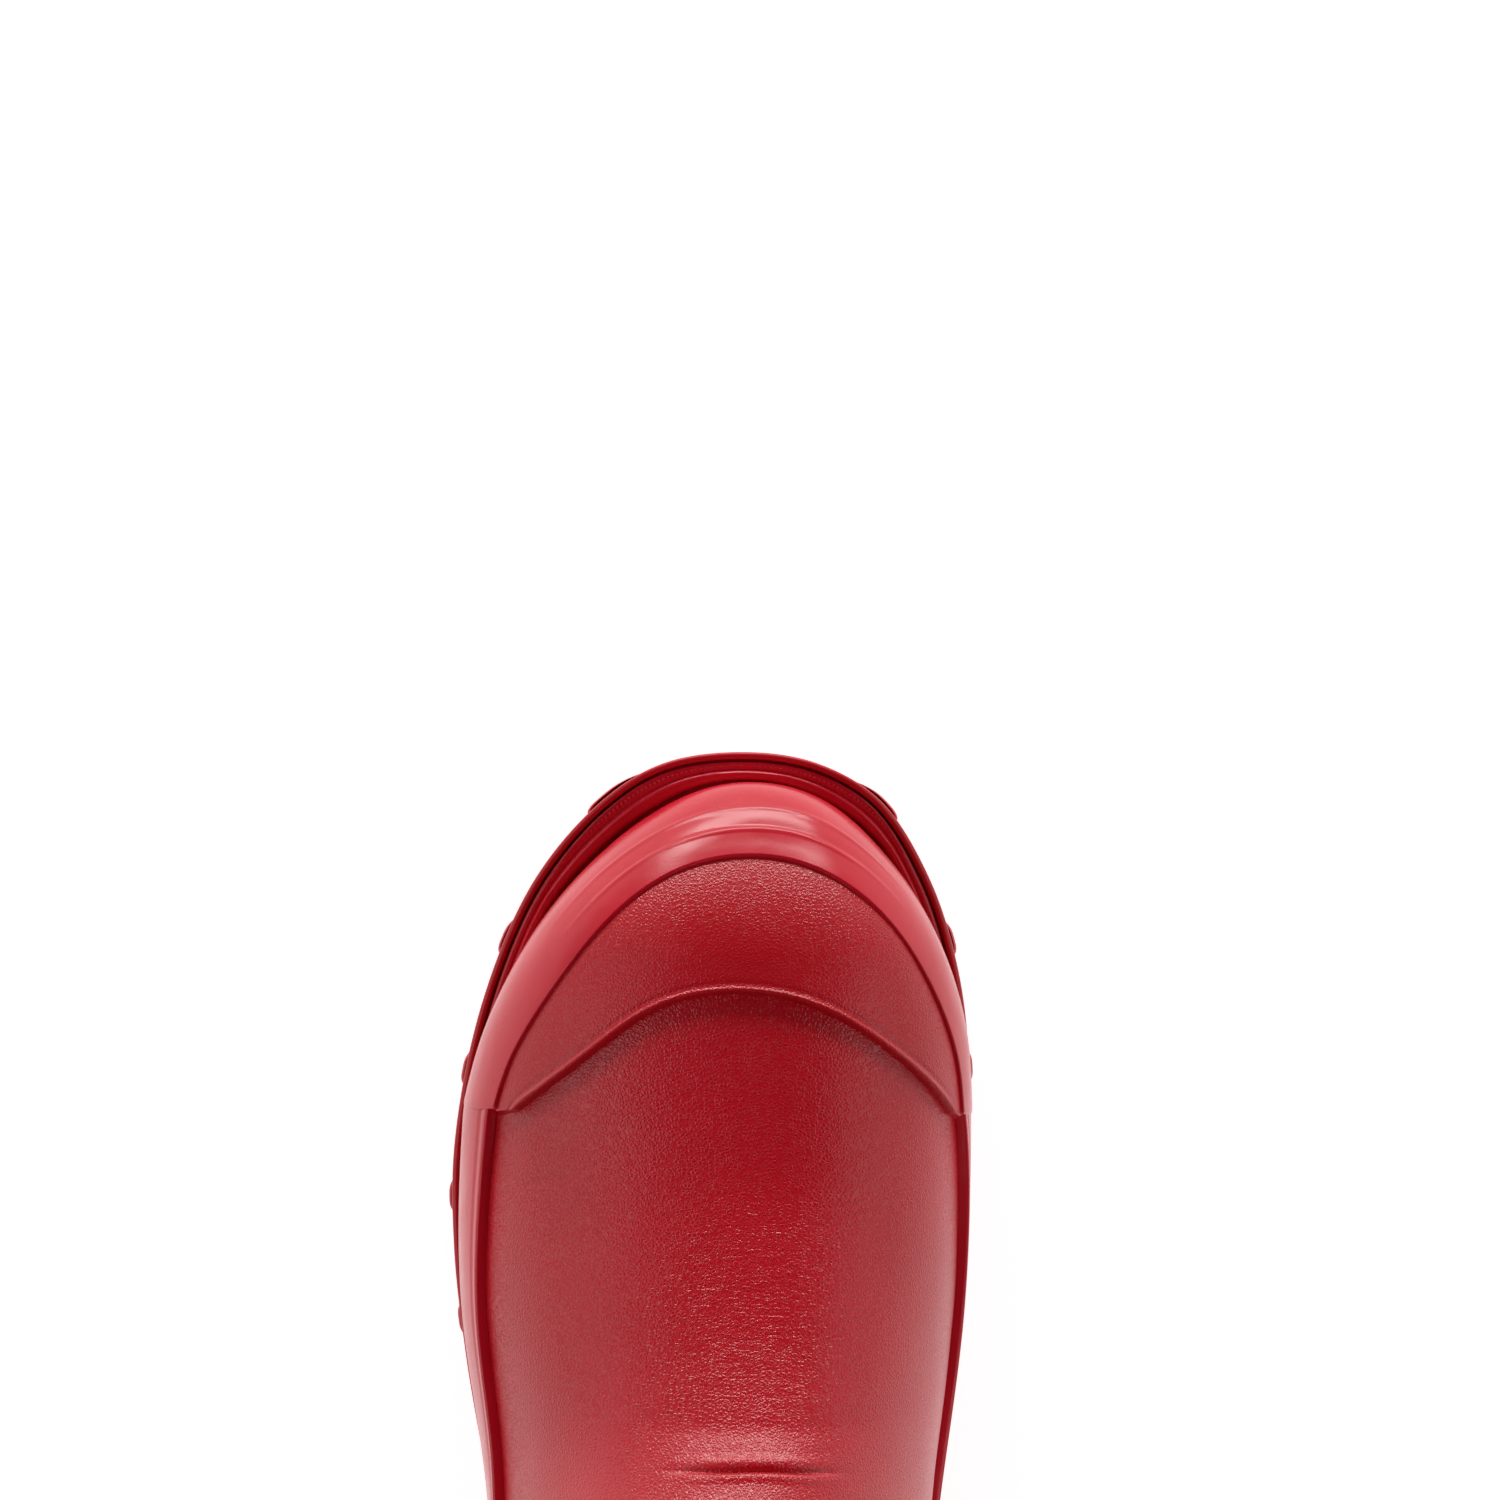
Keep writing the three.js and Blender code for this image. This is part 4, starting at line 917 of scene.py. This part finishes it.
def stay_relief(start, end, upper, lower):
    return 0.25 * bell(np.minimum(start, end), 3.2, 0.5)


overlay_piece(
    "back_stay_strip", stay_laid, PATCH_OUT, (0.6, 0.6, 0.6), patch_rubber, ["back_stay"],
    stay_relief,
)

# %% Kick spur
SPUR_WIDTH, SPUR_LOW, SPUR_HIGH, SPUR_REACH = 40.0, 12.0, 18.5, 6.5
spur_half = math.asin(SPUR_WIDTH / 2 / 40) * 2 / math.pi
spur_s = np.linspace(0, 1, 120)
spur_p = mix(3 - spur_half, 3 + spur_half, spur_s)
spur_t = np.linspace(0, 1, 40)
spur_grid, spur_normal = lay(level_ray(spur_p, SPUR_HIGH), level_ray(spur_p, SPUR_LOW), spur_t)
spur_profile = np.minimum(rounded(spur_t * 7, 2.2), rounded((1 - spur_t) * 7, 3.2))[None, :]
spur_ribs = 0.35 * np.maximum(0, np.cos(spur_s * math.tau * 9))[:, None] * spur_profile
spur_swell = (0.5 + (SPUR_REACH - 1.0) * np.sin(spur_s * math.pi) ** 0.6)[:, None]
spur_flat = unit(spur_normal * (1, 1, 0.15))
spur_base = spur_grid + spur_normal * 2.2
spur_face = spur_base + spur_flat * ((spur_swell + spur_ribs) * spur_profile + 0.4)[..., None]
make_piece(
    "kick_spur_shelf",
    [closed_sheet(spur_face, spur_base - spur_normal * 0.3)],
    sole_rubber,
    "boot",
    ["kick_spur"],
)

# %% Top band
BAND_OUT = 2.3
band_rows = mix(BAND_BOTTOM, TOP, crowded(60, 0.5))
band_turns = np.arange(400) / 400
band_u = np.broadcast_to(band_rows[:, None], (60, 400))
band_skin = skin(band_u, band_turns[None, :])
band_normal = skin_normal(band_u, np.broadcast_to(band_turns[None, :], band_u.shape))
from_bottom = np.concatenate(
    [np.zeros((1, 400)), np.cumsum(np.linalg.norm(np.diff(band_skin, axis=0), axis=-1), 0)]
)
from_top = from_bottom[-1:] - from_bottom
band_height = BAND_OUT * np.minimum(rounded(from_bottom, 1.2), rounded(from_top, 1.1))
for rib in (3.2, 17.5):
    band_height -= 0.45 * bell(from_top, rib, 0.45)
band_face = band_skin + band_normal * band_height[..., None]
band_back = band_skin + band_normal * EMBEDDED
make_piece(
    "top_band_strip",
    [closed_sheet(band_face, band_back - band_normal * 0.3, around=True)],
    trim_rubber,
    "boot",
    ["top_band"],
)

# %% Loop anchor
ANCHOR = {"width": 27.0, "height": 26.0, "top": 297.0, "out": 6.3}
anchor_s = crowded(60, 0.5)
anchor_x = mix(-1, 1, anchor_s) * ANCHOR["width"] / 2
taper = 5.0 * (np.abs(anchor_x) / (ANCHOR["width"] / 2)) ** 5
hub = np.stack([anchor_x, np.full(60, 240.0), np.full(60, ANCHOR["top"])], -1)
low = hub - np.stack([0 * taper, 0 * taper, ANCHOR["height"] - taper], -1)
hub = hub - np.stack([0 * taper, 0 * taper, 0.15 * taper], -1)
anchor_laid = lay((hub, hub + (0, 1, 0)), (low, low + (0, 1, 0)), crowded(60, 0.5))


def anchor_relief(start, end, upper, lower):
    inside = np.minimum(np.minimum(start, end), np.minimum(upper, lower))
    return -0.35 * bell(inside, 2.6, 0.35)


overlay_piece(
    "loop_anchor_patch", anchor_laid, ANCHOR["out"], (1.6, 1.6, 1.6), patch_rubber,
    ["loop_anchor"], anchor_relief,
)

# %% [markdown]
# ## The sole
#
# The outsole is one moulding: a body with a raised rim that the welt lies inside, and bars across ball and
# heel. Every other bar climbs the side and stands out a little, which gives the notched edge. The body is
# made as rings that follow the outline, from the middle of the underside, over the rim, to the middle on top.
# Each bar is a small closed block of its own that runs out to the outline.

# %% Outline
OUTLINE = [
    (-6.4, 0), (10, 2.3), (22.6, 10), (36.6, 26.3), (47.3, 51), (53.2, 80), (53.4, 102), (50.8, 125),
    (46.4, 150), (41.5, 180), (39, 210), (37.5, 238), (31.5, 264), (18, 281), (0, 286), (-17, 281.5),
    (-29.5, 265), (-35.5, 240), (-37.5, 210), (-40.5, 180), (-45, 148), (-49.4, 117), (-52.6, 90),
    (-53.2, 67), (-51, 46), (-44.9, 26.3), (-34.6, 10), (-21.6, 2.3),
]  # fmt: skip
WELT_INSET, WELT_INNER = 2.0, 5.4
LIP_WIDTH, LIP_HEIGHT, WELT_TOP = 1.6, 1.5, 2.4
TOE_SPRING, LUG_DEPTH, ARCH_RISE, HEEL_BREAST = 8.0, 5.0, 4.5, 205.0


def closed_curve(points, count):
    """Closed centripetal Catmull-Rom curve through points, as `count` points the same distance apart."""
    p = np.array(points, float)
    before, start, end, after = np.roll(p, 1, 0), p, np.roll(p, -1, 0), np.roll(p, -2, 0)
    d0, d1, d2 = (np.sqrt(np.linalg.norm(b - a, axis=1))[:, None] for a, b in
                  ((before, start), (start, end), (end, after)))
    m1 = ((start - before) / d0 - (end - before) / (d0 + d1) + (end - start) / d1) * d1
    m2 = ((end - start) / d1 - (after - start) / (d1 + d2) + (after - end) / d2) * d1
    t = (np.arange(60) / 60)[None, :, None]
    a, b, m, n = start[:, None], end[:, None], m1[:, None], m2[:, None]
    fine = a + m * t + (3 * b - 3 * a - 2 * m - n) * t**2 + (2 * a - 2 * b + m + n) * t**3
    fine = fine.reshape(-1, 2)
    ring = np.concatenate([fine, fine[:1]])
    length = np.concatenate([[0], np.cumsum(np.linalg.norm(np.diff(ring, axis=0), axis=1))])
    at = np.linspace(0, length[-1], count, endpoint=False)
    return np.stack([np.interp(at, length, ring[:, k]) for k in (0, 1)], -1), length[-1]


NOWHERE = 1e9


def ring_normals(ring):
    """Outward unit normals of a closed ring that runs from the toe by the lateral side."""
    step = np.roll(ring, -1, 0) - np.roll(ring, 1, 0)
    return unit(np.stack([step[:, 1], -step[:, 0]], -1))


outline, outline_length = closed_curve(OUTLINE, 1400)
outline_normals = ring_normals(outline)


def ground_line(y):
    return TOE_SPRING * np.clip((70 - y) / 70, 0, 1) ** 2


def body_line(y):
    arch = soft_step((y - 122) / 16) * (1 - soft_step((y - HEEL_BREAST + 10) / 6))
    return ground_line(y) + LUG_DEPTH + arch * ARCH_RISE


def to_ring(start, aim, ring):
    """How far each ray goes to cross a closed ring, NOWHERE if it doesn't, and the ring's normal there."""
    edge, rel = np.roll(ring, -1, 0) - ring, ring[None] - start[:, None]
    cross = aim[:, None, 0] * edge[:, 1] - aim[:, None, 1] * edge[:, 0]
    cross = np.where(np.abs(cross) < 1e-9, 1e-9, cross)
    along = (rel[..., 0] * edge[:, 1] - rel[..., 1] * edge[:, 0]) / cross
    share = (rel[..., 0] * aim[:, None, 1] - rel[..., 1] * aim[:, None, 0]) / cross
    along = np.where((share >= -1e-6) & (share <= 1 + 1e-6) & (along > 0), along, NOWHERE)
    best = np.argmin(along, 1)
    rows = np.arange(len(start))
    normals = ring_normals(ring)
    part = share[rows, best][:, None]
    return along[rows, best], unit(mix(normals[best], np.roll(normals, -1, 0)[best], part))


ROUND_LEGS = ((-1, 1), (1, 2), (2, 4), (4, 5))  # toe, medial side, heel, lateral side
round_p = np.concatenate([np.linspace(start, end, 180)[:-1] for start, end in ROUND_LEGS])
sole_middle, sole_aim = hub_of(round_p)
sole_reach, sole_normal = to_ring(sole_middle, sole_aim, outline)
sole_edge = sole_middle + sole_aim * sole_reach[:, None]
print("outline", round(outline_length), "mm round")

# %% Outsole


def sole_ring(inset, height, share=0.0):
    """A ring `inset` from the outline, moved `share` of the way to the middle of the foot."""
    ring = mix(sole_edge - sole_normal * inset, sole_middle, share)
    return np.concatenate([ring, height(ring[:, 1])[:, None]], 1)


def side_height(level):
    return lambda y: mix(body_line(y) + 0.9, floor_line(y) + LIP_HEIGHT - 0.9, level)


def above(line, rise):
    return lambda y: line(y) + rise


UNDER_EDGE = [(0.9, 0.0), (0.4, 0.12), (0.1, 0.45), (0.0, 0.9)]
WALL_PROFILE = [(0.0, 0.3), (0.0, 0.52), (0.12, 0.56), (0.16, 0.6), (0.1, 0.64), (0.0, 0.68), (0.0, 0.85)]
RIM_PROFILE = [(0, -0.9), (0.06, -0.6), (0.2, -0.35), (0.42, -0.15), (0.7, -0.03), (0.95, 0), (1.2, -0.1),
               (1.4, -0.3), (1.5, -0.6)]  # fmt: skip
body_rings = [sole_ring(1.2, body_line, share) for share in (1.0, 0.85, 0.65, 0.45, 0.25, 0.1)]
body_rings += [sole_ring(inset, above(body_line, rise)) for inset, rise in UNDER_EDGE]
body_rings += [sole_ring(inset, side_height(level)) for inset, level in WALL_PROFILE]
body_rings += [sole_ring(inset, above(floor_line, LIP_HEIGHT + rise)) for inset, rise in RIM_PROFILE]
body_rings += [sole_ring(LIP_WIDTH, above(floor_line, -0.3), share) for share in (0, 0.15, 0.4, 0.7, 1.0)]
body_rings = np.stack(body_rings)
body_points = body_rings.reshape(-1, 3)
body_faces = grid_faces(len(body_rings), len(round_p), around=True)

LUG_WIDTH, LUG_PITCH, LUG_SLANT, FIRST_LUG = 7.0, 13.0, 0.16, 7.0
SIDE_LUG = {"reach": 0.9, "height": 4.0}
MIDDLE_GAP = 2.8


def lug(from_toe, hand, tall):
    """One bar of the tread, from the middle of the sole to one side. A tall one climbs the side."""
    aim = np.array([hand * math.cos(LUG_SLANT), math.sin(LUG_SLANT)])
    side = np.array([-aim[1], aim[0]]) * hand
    widths = mix(-LUG_WIDTH / 2, LUG_WIDTH / 2, crowded(14, 0.8))
    starts = np.array([-2.0, from_toe - 2.0]) + aim * MIDDLE_GAP + side * widths[:, None]
    aims = np.broadcast_to(aim, starts.shape)
    ring = outline + outline_normals * (SIDE_LUG["reach"] if tall else -1.2)
    lengths, behind = to_ring(starts, aims, ring)[0], to_ring(starts, -aims, ring)[0]
    if max(lengths.max(), behind.max()) == NOWHERE:
        return None
    if tall:
        near = to_ring(starts, aims, outline - outline_normals * 0.5)[0]
        lengths = mix(near, lengths, rounded(LUG_WIDTH / 2 - np.abs(widths), 2.6))
    if lengths.min() < 3:
        return None
    share = np.concatenate([crowded(26, 0.6) * 0.97, [0.975, 0.98, 0.985, 0.99, 0.995, 1.0]])
    plan = starts[:, None] + aim * (share * lengths[:, None])[..., None]
    from_end = lengths[:, None] * (1 - share)
    from_side = (LUG_WIDTH / 2 - np.abs(widths))[:, None]
    edge = rounded(np.minimum(np.minimum(from_end, from_side), lengths[:, None] * share), 0.9)
    y = plan[..., 1]
    bottom = ground_line(y) + 0.7 * (1 - edge)
    climb = tall * soft_step(1 - from_end / 2.5) * rounded(from_end + 0.1, 1.0) * (SIDE_LUG["height"] - 0.5)
    top = body_line(y) + 0.4 + climb * np.minimum(1, from_side / 0.9 + 0.35)
    top = np.maximum(top, bottom + 0.2)
    return closed_sheet(*(np.concatenate([plan, z[..., None]], -1) for z in (bottom, top)))


heel_bars = np.arange(HEEL_BREAST + FIRST_LUG - 1, 284, LUG_PITCH)
bars = [*np.arange(FIRST_LUG, 120, LUG_PITCH), *heel_bars]
lugs = [lug(at, hand, i % 2 == 0) for i, at in enumerate(bars) for hand in (-1, 1)]
lugs = [block for block in lugs if block is not None]
sole_parts = [(body_points, body_faces), *lugs]
make_piece("outsole_moulding", sole_parts, sole_rubber, "boot", ["outsole"], crease=40)
print(len(lugs), "lugs")

# %% [markdown]
# ## The welt
#
# A welt is a strip that was once sewn down. On a rubber boot the stitches are only moulded, as a row of tiny
# dashes between the rim and the bead at the welt's inner edge. The real ones are 0.8 mm apart. Here they are
# 1.1 mm apart, so that they show at all.

# %% Welt
STITCH_PITCH = 1.1
STITCH_RISE = 0.2
STITCH_LINE = 2.75  # inset of the row of stitches
welt_ring, welt_length = closed_curve(OUTLINE, 2880)
welt_normals = ring_normals(welt_ring)
welt_at = np.arange(2880) / 2880 * welt_length
dash = soft_step((np.cos(welt_at * math.tau / STITCH_PITCH) + 0.35) / 0.6)
front = np.exp(-((welt_ring[:, 1] / 16) ** 4))
WELT_PROFILE = [  # inset, height, and how far the stitches and the seam's two lines lift it
    (WELT_INSET, 0.1, 0, 0), (WELT_INSET, 1.0, 0, 0), (2.08, 1.35, 0, 0), (2.25, LIP_HEIGHT, 0, 0),
    (2.45, LIP_HEIGHT, 0, 0), (2.55, LIP_HEIGHT, 0, 1), (STITCH_LINE - 0.1, LIP_HEIGHT, 1, 0.4),
    (STITCH_LINE + 0.1, LIP_HEIGHT, 1, 0.4), (2.98, LIP_HEIGHT, 0, 1), (3.1, LIP_HEIGHT, 0, 0),
    (3.4, LIP_HEIGHT - 0.15, 0, 0), (3.6, 1.75, 0, 0), (3.75, 2.15, 0, 0), (4.0, WELT_TOP, 0, 0),
    (4.6, WELT_TOP, 0, 0), (5.1, 2.2, 0, 0), (WELT_INNER, 1.6, 0, 0), (WELT_INNER, 0.1, 0, 0),
]  # fmt: skip
rand_plan = (rand_grid + rand_normal * RAND_OUT)[::3, ::2] * (1, 1, 0)
foxing_plan = (foxing_laid[0] + foxing_laid[1] * (RAND_OUT - 0.2))[::3, ::2] * (1, 1, 0)
side_points = np.concatenate([rand_plan.reshape(-1, 3), foxing_plan.reshape(-1, 3)])
side_tree = KDTree(len(side_points))
for i, point in enumerate(side_points):
    side_tree.insert(point, i)
side_tree.balance()
ledge = np.array([side_tree.find((x, y, 0.0))[2] for x, y in welt_ring])
widening = np.clip((ledge - 0.55) / WELT_INNER, 1.0, 1.4)
for _ in range(600):
    widening = (np.roll(widening, 1) + 2 * widening + np.roll(widening, -1)) / 4
welt_rows = []
for inset, height, stitched, lined in WELT_PROFILE:
    ring = welt_ring - welt_normals * (inset + (widening - 1) * max(0.0, inset - WELT_INSET) * 1.6)[:, None]
    rise = stitched * STITCH_RISE * dash * front + lined * 0.07 * (1 - front)
    welt_rows.append(np.concatenate([ring, (floor_line(ring[:, 1]) + height + rise)[:, None]], 1))
welt_rows = np.stack(welt_rows)
welt_body = welt_rows.reshape(-1, 3), grid_faces(*welt_rows.shape[:2], around=True, ring=True)
make_piece("welt_strip", [welt_body], trim_rubber, "boot", ["welt"], crease=45)

# %% [markdown]
# ## Linings and footbed
#
# The lining is one knitted sock, glued to the inside of the rubber while that is still soft. Near the top
# line it is thickened to meet the rubber, and its edge is rounded. The footbed is a loose slab of foam with a
# knitted cover, a little cupped at its edge, that can be lifted out to dry.

# %% Linings
LINING_OUT, LINING_IN, LINING_FLOOR = -4.3, -5.6, 5.0
LINING_TOP = TOP - 0.03


def lining_piece(name, rows, replaces):
    outer = shell_grid(rows, LINING_OUT, LINING_FLOOR, 220, 12)
    inner = shell_grid(rows, LINING_IN, LINING_FLOOR + 1.3, 220, 12)
    collar = 2.0 * soft_step(rows, TOP - 0.35, TOP - 0.05)
    outer = outer + unit(outer - inner) * collar[:, None, None]
    if rows[-1] > TOP - 1:
        edge = rounded((LINING_TOP - rows) * 48, 1.2)[:, None, None]
        middle = (outer + inner) / 2
        outer, inner = mix(middle, outer, edge), mix(middle, inner, np.maximum(edge, 0.25))
    body = closed_sheet(outer, inner, around=True)
    piece = make_piece(name, [body], jersey, "boot", replaces, crease=70)
    middle = (outer + inner) / 2


foot_rows = np.concatenate([toe_rows(0.03, 40), np.linspace(1.2, ANKLE_SEAM - 0.012, 80)[1:]])
collar_rows = np.linspace(TOP - 0.36, LINING_TOP, 40)
leg_lining_rows = np.concatenate([np.linspace(ANKLE_SEAM + 0.012, TOP - 0.36, 150), collar_rows[1:]])
lining_piece("foot_lining_sock", foot_rows, ["foot_lining"])
lining_piece("leg_lining_sock", leg_lining_rows, ["leg_lining"])

# %% Footbed
BED_INSET, BED_FLOOR, BED_TOP, COVER_TOP = 8.3, 6.6, 11.6, 12.9


bed_edge = level_ray(round_p, 9.5)[1][:, :2]
bed_way = ring_normals(bed_edge)
bed_way *= np.sign(np.sum(bed_way * (bed_edge - sole_middle)))
bed_edge = bed_edge - bed_way * BED_INSET


def bed_ring(share, inset, height):
    ring = mix(bed_edge - bed_way * inset, sole_middle, share)
    return np.concatenate([ring, (floor_line(ring[:, 1]) + height)[:, None]], 1)


def slab(low, high, radius, inset):
    """A slab over the floor line with rounded edges and a slightly cupped top."""
    middle, half = (low + high) / 2, (high - low) / 2
    radius = min(radius, half)
    rings = [bed_ring(share, inset, low) for share in (1.0, 0.6, 0.3, 0.1)]
    for turn in np.radians(np.linspace(-90, 90, 9)):
        level = middle + (half - radius) * np.sign(turn) + radius * math.sin(turn)
        rings.append(bed_ring(0.0, inset + radius * (1 - math.cos(turn)), level))
    for share in (0.04, 0.1, 0.2, 0.35, 0.55, 0.8, 1.0):
        rings.append(bed_ring(share, inset + radius, high - 0.35 * float(soft_step(share, 0.0, 0.3))))
    rings = np.stack(rings)
    return rings.reshape(-1, 3), grid_faces(*rings.shape[:2], around=True)


bed_body = slab(BED_FLOOR, BED_TOP, 1.6, 0.0)
bed = make_piece("footbed_foam", [bed_body], bed_foam, "insole", ["footbed"])
cover_body = slab(BED_TOP + 0.05, COVER_TOP - 0.1, 0.6, 0.2)
cover = make_piece("footbed_knit", [cover_body], bed_knit, "insole", ["footbed_cover"])

# %% [markdown]
# ## Pull loop
#
# A tape of woven polyester, 20 mm wide, folded on itself and vulcanised under the anchor. A flat strap is
# best modelled directly: its path is drawn from the side and a thin, round-edged section is swept along it.
# It is placed at the joint where it leaves the anchor.

# %% Pull loop
WEBBING, LOOP_WIDTH, LOOP_RISE, LOOP_REACH = 1.6, 20.0, 34.0, 10.0
loop_joint = next(j for j in frame["record"]["behaviour"]["joints"] if j["name"] == "loop_bend")
bend_y = loop_joint["pos_m"][1] / MM - TOE_Y
bend_z = loop_joint["pos_m"][2] / MM


def loop_half(z):
    return mix(WEBBING, LOOP_REACH / 2, soft_step(z, 4, 15)) - WEBBING / 2


top_of_sides = LOOP_RISE - LOOP_REACH / 2
sides_z = np.linspace(0.8, top_of_sides, 60)
arch = np.linspace(0, math.pi, 50)[1:-1]
radius = LOOP_REACH / 2 - WEBBING / 2
bottom = np.linspace(0, -math.pi, 14)[1:-1]
path = np.concatenate(
    [
        np.stack([-loop_half(sides_z), sides_z], -1),
        np.stack([-radius * np.cos(arch), top_of_sides + radius * np.sin(arch)], -1),
        np.stack([loop_half(sides_z[::-1]), sides_z[::-1]], -1),
        np.stack([WEBBING / 2 * np.cos(bottom), 0.8 + WEBBING / 2 * np.sin(bottom)], -1),
    ]
)
path_step = np.roll(path, -1, 0) - np.roll(path, 1, 0)
path_way = unit(np.stack([-path_step[:, 1], path_step[:, 0]], -1))
section_x = mix(-LOOP_WIDTH / 2, LOOP_WIDTH / 2, crowded(60, 0.5))
flank = rounded(LOOP_WIDTH / 2 - np.abs(section_x), 0.8)
rib = 0.05 * np.cos(section_x * math.tau / 1.6)
half = (WEBBING / 2 - 0.04) * np.maximum(flank, 0.15) - 0.05 + rib * flank
yarns = 0.04 * np.cos(np.arange(len(path)) * math.pi)[:, None] * flank[None, :]


def webbing_face(side):
    offset = side * (half[None, :] + yarns)
    y = path[:, :1] + path_way[:, :1] * offset
    z = path[:, 1:] + path_way[:, 1:] * offset
    x = np.broadcast_to(section_x[None, :], y.shape)
    return np.stack([x, y + bend_y, z + bend_z], -1)


make_piece(
    "pull_loop_webbing",
    [closed_sheet(webbing_face(1), webbing_face(-1), ring=True)],
    loop_webbing,
    "loop",
    ["pull_loop"],
    crease=70,
)

# %% [markdown]
# ## Floor and light
#
# The boot stands on a plain pale floor in a white surround. Rubber is told by its highlights, so the light
# comes from large soft panels beside, in front of and behind the boot, and there is none straight above:
# the flat top of the vamp then stays deep red, and the flanks roll off into broad pale sheens.

# %% Floor
floor_mesh = bpy.data.meshes.new("floor")
reach = 3.0
corners = [(-reach, -reach, 0), (reach, -reach, 0), (reach, reach, 0), (-reach, reach, 0)]
floor_mesh.from_pydata(corners, [], [(0, 1, 2, 3)])
floor = bpy.data.objects.new("floor", floor_mesh)
bpy.context.scene.collection.objects.link(floor)
floor_paint, _, floor_shader, _ = new_material("matt white paint", "#E4E3E2", 0.9, Specular_IOR_Level=0.2)
floor_shader.inputs["Emission Color"].default_value = linear("#FFFFFF")
floor_shader.inputs["Emission Strength"].default_value = 0.8  # a light table, lit a little from below
floor_mesh.materials.append(floor_paint)

# %% Lights


def panel(name, position, target, size, watts):
    """A soft panel of size (width, height) metres that faces its target."""
    data = bpy.data.lights.new(name, "AREA")
    data.shape = "RECTANGLE"
    data.size, data.size_y = size
    data.energy = watts
    light = bpy.data.objects.new(name, data)
    bpy.context.scene.collection.objects.link(light)
    light.location = position
    light.rotation_euler = (Vector(target) - Vector(position)).to_track_quat("-Z", "Y").to_euler()
    return light


aim_at = (0, TOE_Y * MM * 0.5, 0.05)
panel("left panel", (1.1, -0.15, 0.85), aim_at, (1.1, 0.8), 4.6)
panel("right panel", (-1.1, -0.15, 0.85), aim_at, (1.1, 0.8), 4)
panel("front panel", (0.0, -1.4, 0.14), aim_at, (1.4, 0.28), 15)
panel("rear panel", (0.0, 1.3, 1.2), aim_at, (1.3, 0.7), 3)

world = bpy.data.worlds.new("white surround")
bpy.context.scene.world = world
world.use_nodes = True
sky = world.node_tree
way = add_node(sky, "TexCoord", {}).outputs["Generated"]
upward = add_node(sky, "SeparateXYZ", {0: way}).outputs["Z"]
fall = {"Value": upward, "From Min": 0.05, "From Max": 0.7, "To Min": 0.4, "To Max": 0.0}
level = add_node(sky, "MapRange", fall, interpolation_type="SMOOTHSTEP").outputs[0]
sky.nodes["Background"].inputs["Color"].default_value = linear("#FFFFFF")
sky.links.new(level, sky.nodes["Background"].inputs["Strength"])
bpy.context.scene.view_settings.view_transform = "Standard"
